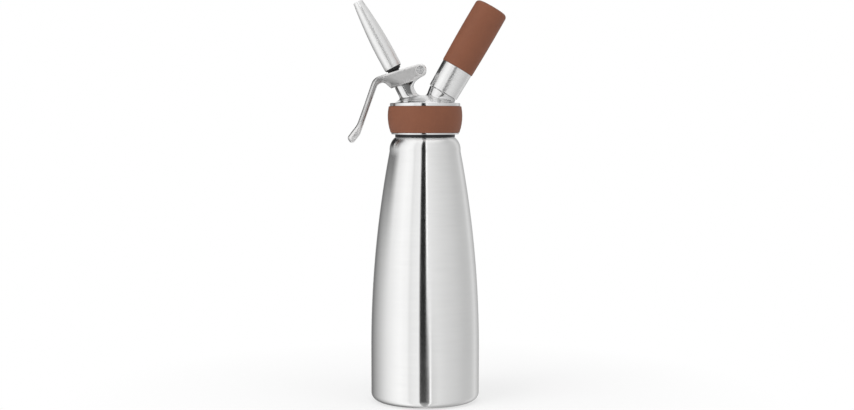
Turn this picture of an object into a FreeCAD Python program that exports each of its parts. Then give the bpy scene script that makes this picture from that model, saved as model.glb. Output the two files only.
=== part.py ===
import FreeCAD, Part
import math
import os

from FreeCAD import Placement, Rotation, Vector

# Whipped cream dispenser, millimetres. +Z is up and the origin is the middle of the bottle's base.
# +X points to the charger holder, and the lever and nozzle lean to -X.

# Gaps and small lengths that many sub-parts share
seat_gap = 0.05
fitted_gap = 0.02
running_gap = 0.07
cut_past = 1.0
hair = 0.01

# Bottle
bottle_radius = 47.4
bottle_wall = 1.2
base_corner = 7.2
straight_height = 45.0
shoulder_height = 217.8
shoulder_radius = 31.0
shoulder_rise = 11.5
neck_radius = 26.0
neck_length = 21.7
shoulder_bow = 1.75

# Head: skirt, band groove, rim and dome
thread_gap = 0.3
skirt_foot_gap = 2.6
skirt_wall = 1.6
mouth_chamfer = 0.6
skirt_lip = 1.5
skirt_lip_height = 1.5
shoulder_over_gasket = 4.05
rim_radius = 30.6
rim_thickness = 2.8
rim_ledge = 3.6
rim_round = 0.5
dome_step = 1.65
dome_radius = 24.6
dome_rise = 4.7
head_shell = 3.4
gasket_thickness = 1.5
gasket_width = 4.4
cavity_radius = 21.5

# Silicone band round the skirt
band_edge_radius = 29.5
band_bulge_radius = 32.4
band_top_radius = 31.6
band_edge_round = 0.5
band_bulge_level = 0.62

# Valve axis: through the middle of the nozzle's foot, leaning towards -X
nozzle_foot_out = 27.6
nozzle_foot_rise = 24.1
valve_lean = 28.3
tower_radius = 6.8
tower_root_radius = 7.1
tower_fillet = 2.5
tower_root = -34.0
tower_top = -14.9
tower_top_round = 0.5
seat_depth = -38.0
seat_boss_radius = 8.0
stem_radius = 3.2
stem_bore_radius = 1.7
stem_top = 9.0
spring_pocket_radius = 5.3
bush_top = -25.0
bush_length = 5.0
chamber_radius = 3.95
collar_radius = 5.6
collar_thickness = 2.0
collar_way_gap = 0.6
collar_top = -8.25
clip_thickness = 0.6
clip_radius = 3.75
clip_mouth = 2.0
spring_wire = 1.1
spring_turns = 5.5
spring_mean_radius = 4.35
seal_radius = 6.2
seal_thickness = 2.4
flange_radius = 5.8
flange_thickness = 1.6
o_ring_section = 0.52
o_ring_depth = -33.0
o_ring_gap = 0.03
groove_half_height = 0.68
port_radius = 1.1
port_height = 1.9
bore_under_port = 1.65

# Nozzle and its adapter
nozzle_length = 64.4
nozzle_root_radius = 7.7
nozzle_belly_radius = 7.85
nozzle_belly_height = 15.0
nozzle_belly_bow = 0.28
nozzle_waist_radius = 6.45
nozzle_waist_height = 43.0
nozzle_waist_bow = 0.12
nozzle_tip_radius = 4.2
nozzle_wall = 0.9
nozzle_foot_round = 0.35
nozzle_slits = 6
slit_width = 1.1
slit_length = 5.4
adapter_height = 9.5
adapter_flange_radius = 7.1
adapter_flange = 0.8
adapter_neck_radius = 4.0
adapter_neck = 3.0
adapter_round = 0.3
plug_round = 0.8

# Lever: its own frame starts at the pivot, along the fork and square to it
pivot_out = 4.0
pivot_rise = 21.9
fork_slope = 18.5
fork_half_width = 10.0
cheek_thickness = 2.0
fork_length = 32.5
fork_end_radius = 5.5
fork_crown = 6.3
fork_crown_start = 22.0
fork_crown_bend = 28.0
fork_belly = 7.2
fork_belly_start = 8.0
fork_belly_bend = 14.0
fork_heel_depth = 6.6
fork_heel = 28.5
heel_round = 1.6
cheek_front = 1.2
cheek_back_height = 0.8
cheek_back_lean = 0.6
web_top = 4.75
web_thickness = 1.9
web_start = 9.5
end_wall = 3.2
end_inset = 0.4
slot_middle = 20.27
slot_half_length = 5.4
slot_half_width = 3.75
pad_radius = 1.6
pad_gap = 0.03
pad_start = 4.1
pin_radius = 2.5
pin_head_radius = 3.3
pin_head_height = 0.8
pin_ring_radius = 2.05
pin_dot_radius = 0.86
pin_recess = 0.4
pin_sink = 0.1
pin_running_gap = 0.05
strap_shoulder = 40.65
strap_angle = 52.0
strap_run = 42.5
strap_thickness = 4.7
strap_root_thickness = 5.8
strap_overlap = 2.0
shoulder_round = 9.5
inner_shoulder_round = 5.0
tab_angle = 33.8
tab_length = 14.2
tab_thickness = 6.8
tab_slant = 4.0
tab_bend = 18.0
tab_tip_round = 3.4
tab_heel_round = 2.2
strap_half_waist = 7.4
strap_half_tab = 10.2
strap_wide_end = 8.5
strap_waist_at = 25.5
strap_front_bend = 20.0
tab_wide_start = 4.3
tab_front_bend = 12.0
tab_corner_round = 9.2
edge_round = 0.9
strap_round = 1.3

# Lug of the head that carries the lever
lug_half_width = 4.2
lug_end_radius = 4.9
lug_round = 1.8
lug_root = -30.0
lug_drop = 0.5
lug_foot_reach = 4.0
lug_foot_sink = 1.0
lug_rim = 2.4
lug_web = 4.8
hollow_out = 2.6
hollow_rise = 7.3
hollow_radius = 7.4

# Charger holder axis: through the middle of the sleeve's mouth, leaning towards +X
holder_foot_out = 15.66
holder_foot_rise = 2.9
holder_lean = 30.2
sleeve_mouth_radius = 13.5
sleeve_top_radius = 14.0
sleeve_height = 24.4
sleeve_mouth_round = 0.3
sleeve_top_round = 0.2
holder_height = 84.6
post_gap = 0.4
post_top_radius = 12.7
post_root_radius = 10.5
post_fillet = 2.0
post_root = -14.0
post_rim_round = 0.4
spigot_radius = 10.8
spigot_height = 18.0
spigot_round = 0.8
holder_thread_gap = 0.25
holder_thread_height = 20.5
grip_radius = 14.5
grip_collar_radius = 14.8
grip_collar_height = 38.4
grip_belly_radius = 15.0
grip_belly_height = 57.3
grip_top_radius = 14.85
grip_thickness = 1.3
grip_edge_round = 0.4
grip_crown = 3.2
grip_corner = 3.9
grip_corner_bulge = 1.17
grip_cap_rise = 0.25
holder_corner = 2.4
holder_bore_corner = 2.0
holder_top_wall = 3.5

# Charger cartridge, pin and gas passage, along the holder axis
charger_radius = 9.3
charger_length = 65.5
charger_neck_radius = 4.35
charger_neck_length = 8.5
charger_neck_round = 0.5
charger_shoulder = 9.0
shoulder_bulge_out = 3.4
shoulder_bulge_up = 3.6
charger_end_rise = 5.2
charger_seat = 11.25
charger_gap = 0.3
cap_thickness = 0.5
cap_radius = 3.6
pierced_radius = 1.3
pierced_depth = 5.0
pin_tip = 13.4
pin_point = 1.8
pin_shaft_gap = 0.3
pin_shaft_radius = 0.8
pin_foot_radius = 2.2
pin_foot_bottom = 3.0
charger_gasket_thickness = 1.4
gas_bore_radius = 1.2
gas_boss_radius = 4.6
gas_boss_end = -13.0
flap_radius = 3.4
flap_thickness = 1.3
flap_plug_length = 5.0
flap_plug_gap = 0.1
flap_round = 0.4

# Heights and radii that follow from the sizes above
neck_start_height = shoulder_height + shoulder_rise
bottle_height = neck_start_height + neck_length
skirt_bottom = neck_start_height + skirt_foot_gap
skirt_bore = neck_radius + thread_gap
skirt_radius = skirt_bore + skirt_wall
gasket_top = bottle_height + gasket_thickness
band_top = gasket_top + shoulder_over_gasket
rim_top = band_top + rim_thickness
ledge_radius = rim_radius - rim_ledge
dome_base = rim_top + dome_step
dome_top = dome_base + dome_rise
dome_curve = (dome_radius**2 + dome_rise**2) / (2 * dome_rise)

# Middles that stand on the dome, and the frames of valve, holder and fork
nozzle_foot = Vector(-nozzle_foot_out, 0, dome_top + nozzle_foot_rise)
pivot = Vector(-pivot_out, 0, dome_top + pivot_rise)
hollow_middle = Vector(-hollow_out, 0, dome_top + hollow_rise)
holder_foot = Vector(holder_foot_out, 0, dome_top + holder_foot_rise)
valve_frame = Placement(nozzle_foot, Rotation(Vector(0, 1, 0), -valve_lean))
holder_frame = Placement(holder_foot, Rotation(Vector(0, 1, 0), holder_lean))
fork_frame = Placement(pivot, Rotation(Vector(0, 1, 0), -fork_slope))


# Shapes that the sub-parts share


def flat(x, z):
    return Vector(x, 0, z)


def corner_arc(before, corner, after, radius):
    """Arc that rounds one corner between two straight sides."""
    to_before = (before - corner).normalize()
    to_after = (after - corner).normalize()
    half_angle = to_before.getAngle(to_after) / 2
    reach = radius / math.tan(half_angle)
    inward = (to_before + to_after).normalize()
    crest = corner + inward * (radius / math.sin(half_angle) - radius)
    return Part.Arc(corner + to_before * reach, crest, corner + to_after * reach)


def closed_face(*marks):
    """Face in the XZ plane: a mark is (x, z), (x, z, rounding), or ("via", x, z) on an arc."""
    corners = []
    for mark in marks:
        if mark[0] == "via":
            corners[-1]["via"] = flat(mark[1], mark[2])
        else:
            rounding = mark[2] if len(mark) > 2 else 0
            corners.append({"at": flat(mark[0], mark[1]), "round": rounding, "via": None})
    for i, corner in enumerate(corners):
        corner["enter"] = corner["leave"] = corner["at"]
        if corner["round"] > 0:
            before = corners[i - 1]["at"]
            after = corners[(i + 1) % len(corners)]["at"]
            arc = corner_arc(before, corner["at"], after, corner["round"]).toShape()
            corner["enter"] = arc.Vertexes[0].Point
            corner["leave"] = arc.Vertexes[-1].Point
            corner["arc"] = arc
    edges = []
    for i, corner in enumerate(corners):
        after = corners[(i + 1) % len(corners)]
        if "arc" in corner:
            edges.append(corner["arc"])
        if corner["via"] is not None:
            edges.append(Part.Arc(corner["leave"], corner["via"], after["enter"]).toShape())
        elif corner["leave"].distanceToPoint(after["enter"]) > 1e-6:
            edges.append(Part.LineSegment(corner["leave"], after["enter"]).toShape())
    return Part.Face(Part.Wire(Part.__sortEdges__(edges)))


def revolved(*marks):
    """Solid of revolution about Z from marks (radius, height)."""
    return closed_face(*marks).revolve(Vector(0, 0, 0), Vector(0, 0, 1), 360)


def cap_via(radius, low, high):
    """Middle mark of a round cap from (radius, low) up to the axis at high."""
    curve = (radius**2 + (high - low) ** 2) / (2 * (high - low))
    return ("via", radius / 2, high - curve + math.sqrt(curve**2 - (radius / 2) ** 2))


def rod(radius, low, high):
    return Part.makeCylinder(radius, high - low, Vector(0, 0, low))


def tube(outer, inner, low, high):
    return rod(outer, low, high).cut(rod(inner, low, high))


def cross_rod(radius, middle, half_length):
    """Cylinder along Y about a point of the XZ plane."""
    start = middle + Vector(0, -half_length, 0)
    return Part.makeCylinder(radius, 2 * half_length, start, Vector(0, 1, 0))


def slab(face, low, high):
    """XZ face made solid between two values of Y."""
    moved = face.translated(Vector(0, low, 0))
    return moved.extrude(Vector(0, high - low, 0))


def placed(shape, frame):
    shape.Placement = frame.multiply(shape.Placement)
    return shape


def joined(first, *others):
    return first.fuse(list(others)).removeSplitter()


def rounded_edges(shape, radius, chosen):
    """Shape with a fillet on each edge that chosen accepts."""
    return shape.makeFillet(radius, [edge for edge in shape.Edges if chosen(edge)])


# Bottle and head


def bow_radius(height):
    """Outer radius of the bottle's long curve, which starts upright at straight_height."""
    rise = shoulder_height - straight_height
    inset = bottle_radius - shoulder_radius
    curve = (rise**2 + inset**2) / (2 * inset)
    return bottle_radius - curve + math.sqrt(curve**2 - (height - straight_height) ** 2)


def bottle():
    middle = (straight_height + shoulder_height) / 2
    neck_middle = (shoulder_height + neck_start_height) / 2
    neck_bow = (shoulder_radius + neck_radius) / 2 + shoulder_bow
    wall = bottle_wall
    outside = revolved(
        (0, 0),
        (bottle_radius, 0, base_corner),
        (bottle_radius, straight_height),
        ("via", bow_radius(middle), middle),
        (shoulder_radius, shoulder_height),
        ("via", neck_bow, neck_middle),
        (neck_radius, neck_start_height),
        (neck_radius, bottle_height),
        (0, bottle_height),
    )
    inside = revolved(
        (0, wall),
        (bottle_radius - wall, wall, base_corner - wall),
        (bottle_radius - wall, straight_height),
        ("via", bow_radius(middle) - wall, middle),
        (shoulder_radius - wall, shoulder_height),
        ("via", neck_bow - wall, neck_middle - wall),
        (neck_radius - wall, neck_start_height - wall),
        (neck_radius - wall, bottle_height + cut_past),
        (0, bottle_height + cut_past),
    )
    return outside.cut(inside)


def dome_height(radius, depth=0):
    """Height of the dome at a distance from the bottle's axis, on or under its outer surface."""
    return dome_top - dome_curve + math.sqrt((dome_curve - depth) ** 2 - radius**2)


def head_shell_solid():
    half = dome_radius / 2
    lip_radius = skirt_radius + skirt_lip
    return revolved(
        (0, skirt_bottom),
        (lip_radius, skirt_bottom, rim_round),
        (lip_radius, skirt_bottom + skirt_lip_height, rim_round),
        (skirt_radius, skirt_bottom + skirt_lip_height),
        (skirt_radius, band_top),
        (rim_radius, band_top),
        (rim_radius, rim_top, rim_round),
        (ledge_radius, rim_top),
        (dome_radius, dome_base),
        ("via", half, dome_height(half)),
        (0, dome_top),
    )


def head_cavity(roof_depth):
    """Thread bore, gasket seat and the hollow that ends at a depth under the dome's surface."""
    half = cavity_radius / 2
    mouth = skirt_bore + mouth_chamfer
    return revolved(
        (0, skirt_bottom - cut_past),
        (mouth, skirt_bottom - cut_past),
        (mouth, skirt_bottom),
        (skirt_bore, skirt_bottom + mouth_chamfer),
        (skirt_bore, gasket_top),
        (cavity_radius, gasket_top),
        (cavity_radius, dome_height(cavity_radius, roof_depth)),
        ("via", half, dome_height(half, roof_depth)),
        (0, dome_top - roof_depth),
    )


def valve_tower():
    """Tapered tower that stands on the dome."""
    return placed(
        revolved(
            (0, tower_root),
            (tower_root_radius, tower_root),
            (tower_radius, tower_top, tower_top_round),
            (0, tower_top),
        ),
        valve_frame,
    )


def inner_bosses():
    """Valve seat and gas passage boss, which hang under the dome."""
    seat = rod(seat_boss_radius, seat_depth, tower_top - tower_radius)
    passage = rod(gas_boss_radius, gas_boss_end, 0)
    both = placed(seat, valve_frame).fuse(placed(passage, holder_frame))
    return both.common(head_cavity(head_shell / 2))


def valve_bores():
    """Way for the collar, spring pocket, bush seat and cream chamber on the valve axis."""
    bush_bottom = bush_top - bush_length
    collar_way = rod(collar_radius + collar_way_gap, tower_top, 0)
    pocket = rod(spring_pocket_radius, bush_bottom, tower_top + cut_past)
    chamber = rod(chamber_radius, seat_depth - cut_past, bush_bottom)
    return placed(collar_way.fuse([pocket, chamber]), valve_frame)


def crossing_tangent(first, first_radius, second, second_radius, hand=1):
    """Ends of a line that touches two circles on opposite sides."""
    across = second - first
    turn = math.degrees(math.acos((first_radius + second_radius) / across.Length))
    side = Rotation(Vector(0, -1, 0), hand * turn).multVec(across.normalize())
    return first + side * first_radius, second - side * second_radius


def lever_lug():
    """Web from the tower to the lever's pivot, hollowed on the side of the charger post."""
    near_pivot, near_hollow = crossing_tangent(
        pivot, lug_end_radius, hollow_middle, hollow_radius
    )
    tower_head = valve_frame.multVec(Vector(0, 0, tower_top - lug_drop))
    foot = valve_frame.multVec(Vector(0, 0, lug_root))
    over_pivot = crossing_tangent(pivot, lug_end_radius, tower_head, 0, -1)[0]
    face = closed_face(
        (foot.x, foot.z),
        (tower_head.x, tower_head.z),
        (over_pivot.x, over_pivot.z),
        ("via", pivot.x + lug_end_radius, pivot.z),
        (near_pivot.x, near_pivot.z),
        (near_hollow.x, near_hollow.z),
        ("via", hollow_middle.x - hollow_radius, hollow_middle.z),
        (hollow_middle.x, hollow_middle.z - hollow_radius),
        (hollow_middle.x + lug_foot_reach, hollow_middle.z - hollow_radius - lug_foot_sink),
        (hollow_middle.x + lug_foot_reach, foot.z),
    )
    plate = slab(face, -lug_half_width, lug_half_width)
    rounded = rounded_edges(
        plate,
        lug_round,
        lambda edge: edge.BoundBox.YLength < hair
        and edge.BoundBox.XMin > near_hollow.x - lug_foot_reach,
    )
    return rounded.cut(lug_recesses(foot, tower_head))


def lug_recesses(foot, tower_head):
    """Recess in each side of the lug, inside its rim along the hollow and its pivot boss."""
    inner_radius = hollow_radius + lug_rim
    near_pivot, near_hollow = crossing_tangent(
        pivot, lug_end_radius - lug_rim, hollow_middle, inner_radius
    )
    face = closed_face(
        (foot.x, foot.z),
        (tower_head.x, tower_head.z),
        (near_pivot.x, near_pivot.z),
        (near_hollow.x, near_hollow.z),
        ("via", hollow_middle.x - inner_radius, hollow_middle.z),
        (hollow_middle.x, hollow_middle.z - inner_radius),
    )
    past = lug_half_width + cut_past
    sides = slab(face, lug_web / 2, past).fuse(slab(face, -past, -lug_web / 2))
    return sides.cut(cross_rod(lug_end_radius, pivot, past))


def charger_post():
    """Conical stub and threaded spigot of the head for the charger holder."""
    return placed(
        revolved(
            (0, post_root),
            (post_root_radius, post_root),
            (post_top_radius, -post_gap, post_rim_round),
            (spigot_radius, -post_gap),
            (spigot_radius, spigot_height, spigot_round),
            (0, spigot_height),
        ),
        holder_frame,
    )


gasket_seat = charger_seat - seat_gap - charger_gasket_thickness


def post_bores():
    """Charger socket, gasket seat, pin seat and the gas passage down to the dome."""
    neck = rod(charger_neck_radius + charger_gap, gasket_seat, spigot_height + cut_past)
    pin_seat = rod(pin_foot_radius + fitted_gap, pin_foot_bottom, gasket_seat + cut_past)
    passage = rod(gas_bore_radius, gas_boss_end - cut_past, pin_foot_bottom + cut_past)
    return placed(neck.fuse([pin_seat, passage]), holder_frame)


def on_dome(solid, edge):
    """True for an edge where the dome meets what stands on it."""
    kinds = [face.Surface.TypeId for face in solid.ancestorsOfType(edge, Part.Face)]
    crosses = "Part::GeomSphere" in kinds and "Part::GeomCone" in kinds
    return crosses and edge.BoundBox.ZMax > dome_base + rim_round


def head():
    solid = head_shell_solid()
    for part, radius in ((charger_post(), post_fillet), (valve_tower(), tower_fillet)):
        both = joined(solid, part)
        solid = rounded_edges(both, radius, lambda edge: on_dome(both, edge))
    solid = solid.cut(head_cavity(head_shell))
    solid = joined(solid, inner_bosses(), lever_lug())
    pin_hole = cross_rod(pin_radius + pin_running_gap, pivot, lug_half_width + cut_past)
    return solid.cut([valve_bores(), post_bores(), pin_hole])


def head_band():
    low = skirt_bottom + skirt_lip_height + seat_gap
    high = band_top - seat_gap
    inner = skirt_radius + seat_gap
    bulge_height = low + (high - low) * band_bulge_level
    return revolved(
        (inner, low),
        (band_edge_radius, low),
        (band_edge_radius + band_edge_round, low + band_edge_round),
        ("via", band_bulge_radius, bulge_height),
        (band_top_radius, high - band_edge_round),
        (band_top_radius - band_edge_round, high),
        (inner, high),
    )


def head_gasket():
    outer = neck_radius
    return tube(outer, outer - gasket_width, bottle_height, gasket_top)


# Valve


seal_top = seat_depth - seat_gap
o_ring_middle = chamber_radius - o_ring_gap - o_ring_section


def valve_stem():
    """Hollow stem with side ports above the seal flange and a groove for its ring."""
    flange_top = seal_top - seal_thickness
    flange_bottom = flange_top - flange_thickness
    body = rod(stem_radius, flange_bottom, stem_top).fuse(
        rod(flange_radius, flange_bottom, flange_top)
    )
    ports_at = Vector(0, 0, seat_depth + port_height)
    bore = rod(stem_bore_radius, seat_depth + port_height - bore_under_port, stem_top)
    ports = [
        Part.makeCylinder(port_radius, 2 * stem_radius, ports_at, direction)
        for direction in (Vector(1, 0, 0), Vector(-1, 0, 0), Vector(0, 1, 0), Vector(0, -1, 0))
    ]
    groove = tube(
        stem_radius + cut_past,
        o_ring_middle - o_ring_section - fitted_gap,
        o_ring_depth - groove_half_height,
        o_ring_depth + groove_half_height,
    )
    return placed(body.cut([bore, groove] + ports), valve_frame)


def valve_seal():
    ring = tube(seal_radius, stem_radius + fitted_gap, seal_top - seal_thickness, seal_top)
    return placed(ring, valve_frame)


def stem_o_ring():
    ring = Part.makeTorus(o_ring_middle, o_ring_section, Vector(0, 0, o_ring_depth))
    return placed(ring, valve_frame)


def stem_bush():
    outer = spring_pocket_radius - fitted_gap
    bottom = bush_top - bush_length
    return placed(tube(outer, stem_radius + running_gap, bottom, bush_top), valve_frame)


def valve_spring():
    """Closed coil between the bush and the collar."""
    low = bush_top + spring_wire / 2 + seat_gap
    high = collar_top - collar_thickness - spring_wire / 2 - seat_gap
    rise = high - low
    helix = Part.makeHelix(rise / spring_turns, rise, spring_mean_radius)
    helix.translate(Vector(0, 0, low))
    start = Vector(spring_mean_radius, 0, low)
    section = Part.Wire(Part.makeCircle(spring_wire / 2, start, Vector(0, 1, 0)))
    return placed(Part.Wire(helix.Edges).makePipeShell([section], True, True), valve_frame)


def push_collar():
    return placed(
        tube(collar_radius, stem_radius + fitted_gap, collar_top - collar_thickness, collar_top),
        valve_frame,
    )


def collar_clip():
    """Open snap ring that holds the collar on the stem."""
    ring = tube(clip_radius, stem_radius + fitted_gap, collar_top, collar_top + clip_thickness)
    mouth = Part.makeBox(
        clip_radius + cut_past, clip_mouth, clip_thickness, Vector(0, -clip_mouth / 2, collar_top)
    )
    return placed(ring.cut(mouth), valve_frame)


def nozzle_profile(inset, low):
    """Side curve of the nozzle, moved inwards by inset."""
    belly_middle = (nozzle_belly_height + nozzle_waist_height) / 2
    belly_bow = (nozzle_belly_radius + nozzle_waist_radius) / 2 + nozzle_belly_bow
    waist_middle = (nozzle_waist_height + nozzle_length) / 2
    waist_bow = (nozzle_waist_radius + nozzle_tip_radius) / 2 + nozzle_waist_bow
    return (
        (nozzle_root_radius - inset, low),
        (nozzle_belly_radius - inset, nozzle_belly_height),
        ("via", belly_bow - inset, belly_middle),
        (nozzle_waist_radius - inset, nozzle_waist_height),
        ("via", waist_bow - inset, waist_middle),
        (nozzle_tip_radius - inset, nozzle_length),
    )


def nozzle():
    outside = revolved((0, 0), *nozzle_profile(0, 0), (0, nozzle_length))
    inside = revolved((0, 0), *nozzle_profile(nozzle_wall, 0), (0, nozzle_length))
    shell = outside.cut(inside)
    outer_length = 2 * math.pi * (nozzle_root_radius - nozzle_wall / 2)
    shell = rounded_edges(
        shell,
        nozzle_foot_round,
        lambda edge: edge.BoundBox.ZMax < hair and edge.Length > outer_length,
    )
    slits = []
    for number in range(nozzle_slits // 2):
        slit = Part.makeBox(
            3 * nozzle_tip_radius,
            slit_width,
            slit_length + cut_past,
            Vector(-1.5 * nozzle_tip_radius, -slit_width / 2, nozzle_length - slit_length),
        )
        turn = 90 + number * 360 / nozzle_slits
        slit.rotate(Vector(0, 0, 0), Vector(0, 0, 1), turn)
        slits.append(slit)
    return placed(shell.cut(slits), valve_frame)


def nozzle_adapter():
    """Threaded plug in the nozzle's foot, with the flange and neck that show below it."""
    plug_radius = nozzle_root_radius - nozzle_wall - fitted_gap
    flange_low = -adapter_flange
    neck_low = flange_low - adapter_neck
    body = revolved(
        (stem_radius + fitted_gap, neck_low),
        (adapter_neck_radius, neck_low, adapter_round),
        (adapter_neck_radius, flange_low),
        (adapter_flange_radius, flange_low),
        (adapter_flange_radius, 0),
        (plug_radius, 0),
        (plug_radius, adapter_height, plug_round),
        (stem_radius + fitted_gap, adapter_height),
    )
    return placed(body, valve_frame)


# Lever


def cheek_face():
    """Side of the fork in the lever's frame, where -X runs from the pivot to the strap."""
    return closed_face(
        (0, fork_end_radius),
        (-fork_crown_start, fork_crown, fork_crown_bend),
        (-fork_length, fork_crown),
        (-fork_length + cheek_back_lean, cheek_back_height),
        (-fork_heel, -fork_heel_depth, heel_round),
        (-fork_belly_start, -fork_belly, fork_belly_bend),
        (cheek_front, -math.sqrt(fork_end_radius**2 - cheek_front**2)),
        ("via", fork_end_radius, 0),
    )


def on_side(edge):
    """True for an edge that doesn't run across the lever from cheek to cheek."""
    return edge.BoundBox.YMin > 0 or edge.BoundBox.YMax < 0


def meeting(first, first_way, second, second_way):
    """Point where two lines of the XZ plane cross."""
    turn = first_way.x * second_way.z - first_way.z * second_way.x
    offset = second - first
    return first + first_way * ((offset.x * second_way.z - offset.z * second_way.x) / turn)


def strap_side_face():
    """Side of the finger strap: shoulder, straight run and thick rounded tab."""
    run = flat(-math.cos(math.radians(strap_angle)), -math.sin(math.radians(strap_angle)))
    tab = flat(-math.cos(math.radians(tab_angle)), -math.sin(math.radians(tab_angle)))
    shoulder = flat(-strap_shoulder, fork_crown)
    tab_start = shoulder + run * strap_run
    tab_end = tab_start + tab * tab_length
    tab_heel = tab_end + flat(-tab.z, tab.x) * tab_thickness + tab * tab_slant
    inner_line = shoulder + flat(-run.z, run.x) * strap_thickness
    under = flat(0, fork_crown - strap_root_thickness)
    inner_shoulder = meeting(inner_line, run, under, flat(1, 0))
    inner_tab = meeting(inner_line, run, tab_heel, tab)
    return closed_face(
        (-fork_length + strap_overlap, fork_crown),
        (shoulder.x, shoulder.z, shoulder_round),
        (tab_start.x, tab_start.z, tab_bend),
        (tab_end.x, tab_end.z, tab_tip_round),
        (tab_heel.x, tab_heel.z, tab_heel_round),
        (inner_tab.x, inner_tab.z, tab_bend / 2),
        (inner_shoulder.x, inner_shoulder.z, inner_shoulder_round),
        (-fork_length + strap_overlap, under.z),
    )


def strap_front_face():
    """Front of the strap from its shoulder down: wide, narrow, and wide again at the tab."""
    wide = fork_half_width
    waist = strap_half_waist
    tab = strap_half_tab
    tab_at = -strap_run - tab_wide_start
    tip_at = -strap_run - tab_length - tab_slant
    return closed_face(
        (-wide, strap_shoulder),
        (-wide, -strap_wide_end, strap_front_bend),
        (-waist, -strap_waist_at, strap_front_bend),
        (-tab, tab_at, tab_front_bend),
        (-tab, tip_at, tab_corner_round),
        (tab, tip_at, tab_corner_round),
        (tab, tab_at, tab_front_bend),
        (waist, -strap_waist_at, strap_front_bend),
        (wide, -strap_wide_end, strap_front_bend),
        (wide, strap_shoulder),
    )


def finger_strap():
    side = slab(strap_side_face(), -2 * fork_half_width, 2 * fork_half_width)
    front = slab(strap_front_face(), -strap_shoulder, strap_shoulder)
    front.rotate(Vector(0, 0, 0), Vector(0, 0, 1), 90)
    tilt = Rotation(Vector(0, 1, 0), 90 - strap_angle)
    strap = side.common(placed(front, Placement(flat(-strap_shoulder, fork_crown), tilt)))
    root = -fork_length
    return rounded_edges(strap, strap_round, lambda edge: edge.BoundBox.XMin < root and on_side(edge))


def fork():
    """Cheeks and top web with the slot for the stem and the pads that press the collar."""
    cheek = cheek_face()
    inner = fork_half_width - cheek_thickness
    near = slab(cheek, -fork_half_width, -inner)
    far = slab(cheek, inner, fork_half_width)
    corner = Vector(-fork_length + end_inset, -inner, web_top - web_thickness)
    web = Part.makeBox(-web_start - corner.x, 2 * inner, web_thickness, corner)
    cap = Part.makeBox(end_wall, 2 * inner, fork_crown - corner.z, corner)
    solid = joined(near, far, web, cap)
    return rounded_edges(
        solid,
        edge_round,
        lambda edge: edge.BoundBox.YLength < hair
        and abs(abs(edge.BoundBox.YMin) - fork_half_width) < hair,
    )


def stem_slot():
    straight = slot_half_length - slot_half_width
    low = web_top - 2 * web_thickness
    high = fork_crown + cut_past
    ends = [
        Part.makeCylinder(slot_half_width, high - low, Vector(-slot_middle + shift, 0, low))
        for shift in (-straight, straight)
    ]
    middle = Part.makeBox(
        2 * straight,
        2 * slot_half_width,
        high - low,
        Vector(-slot_middle - straight, -slot_half_width, low),
    )
    return placed(middle.fuse(ends), fork_frame)


def press_pads():
    """Half-round ribs under the web, one on each side of the stem."""
    inner = fork_half_width - cheek_thickness
    centre = valve_frame.multVec(Vector(0, 0, collar_top + pad_gap + pad_radius))
    rib = cross_rod(pad_radius, centre, inner)
    gap = cross_rod(pad_radius + cut_past, centre, pad_start)
    return rib.cut(gap)


def lever():
    solid = placed(joined(fork(), finger_strap()), fork_frame)
    solid = solid.cut(stem_slot())
    solid = joined(solid, press_pads())
    head_low = fork_half_width - pin_head_height
    past = fork_half_width + cut_past
    bore = cross_rod(pin_radius + fitted_gap, pivot, past)
    sinks = cross_rod(pin_head_radius + fitted_gap, pivot, past).cut(
        cross_rod(pin_head_radius + cut_past, pivot, head_low)
    )
    return solid.cut([bore, sinks])


def lever_pivot_pin():
    """Pin with a sunk head at each end, each with a ring recess round a middle dot."""
    head_low = fork_half_width - pin_head_height + fitted_gap
    head_high = fork_half_width - pin_sink
    body = cross_rod(pin_radius, pivot, head_high)
    heads = cross_rod(pin_head_radius, pivot, head_high).cut(
        cross_rod(pin_head_radius + cut_past, pivot, head_low)
    )
    recess = cross_rod(pin_ring_radius, pivot, fork_half_width).cut(
        cross_rod(pin_head_radius, pivot, head_high - pin_recess)
    )
    recess = recess.cut(cross_rod(pin_dot_radius, pivot, fork_half_width))
    return joined(body, heads).cut(recess)


# Charger holder and gas side


def charger_holder():
    """Steel cup: threaded mouth, charger bore and a closed end inside the grip."""
    bore = charger_radius + charger_gap
    thread = spigot_radius + holder_thread_gap
    under_grip = grip_radius - grip_thickness
    top = holder_height - grip_crown
    body = revolved(
        (thread, 0),
        (sleeve_mouth_radius, 0, sleeve_mouth_round),
        (sleeve_top_radius, sleeve_height, sleeve_top_round),
        (under_grip, sleeve_height),
        (under_grip, top, holder_corner),
        (0, top),
        (0, top - holder_top_wall),
        (bore, top - holder_top_wall, holder_bore_corner),
        (bore, holder_thread_height),
        (thread, holder_thread_height),
    )
    return placed(body, holder_frame)


def holder_grip():
    """Silicone cap over the holder's upper part, slightly barrelled."""
    inner = grip_radius - grip_thickness + seat_gap
    low = sleeve_height + seat_gap
    start = low - cut_past
    top = holder_height
    inner_top = top - grip_crown + seat_gap
    cap_radius_low = grip_belly_radius - grip_corner
    cap_low = top - grip_cap_rise
    outside = revolved(
        (0, low),
        (grip_radius, low, grip_edge_round),
        (grip_collar_radius, grip_collar_height),
        ("via", grip_belly_radius, grip_belly_height),
        (grip_top_radius, top - grip_corner),
        ("via", grip_belly_radius - grip_corner_bulge, top - grip_corner_bulge),
        (cap_radius_low, cap_low),
        cap_via(cap_radius_low, cap_low, top),
        (0, top),
    )
    inside = revolved(
        (0, start),
        (inner, start),
        (inner, inner_top, holder_corner),
        (0, inner_top),
    )
    return placed(outside.cut(inside), holder_frame)


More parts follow.
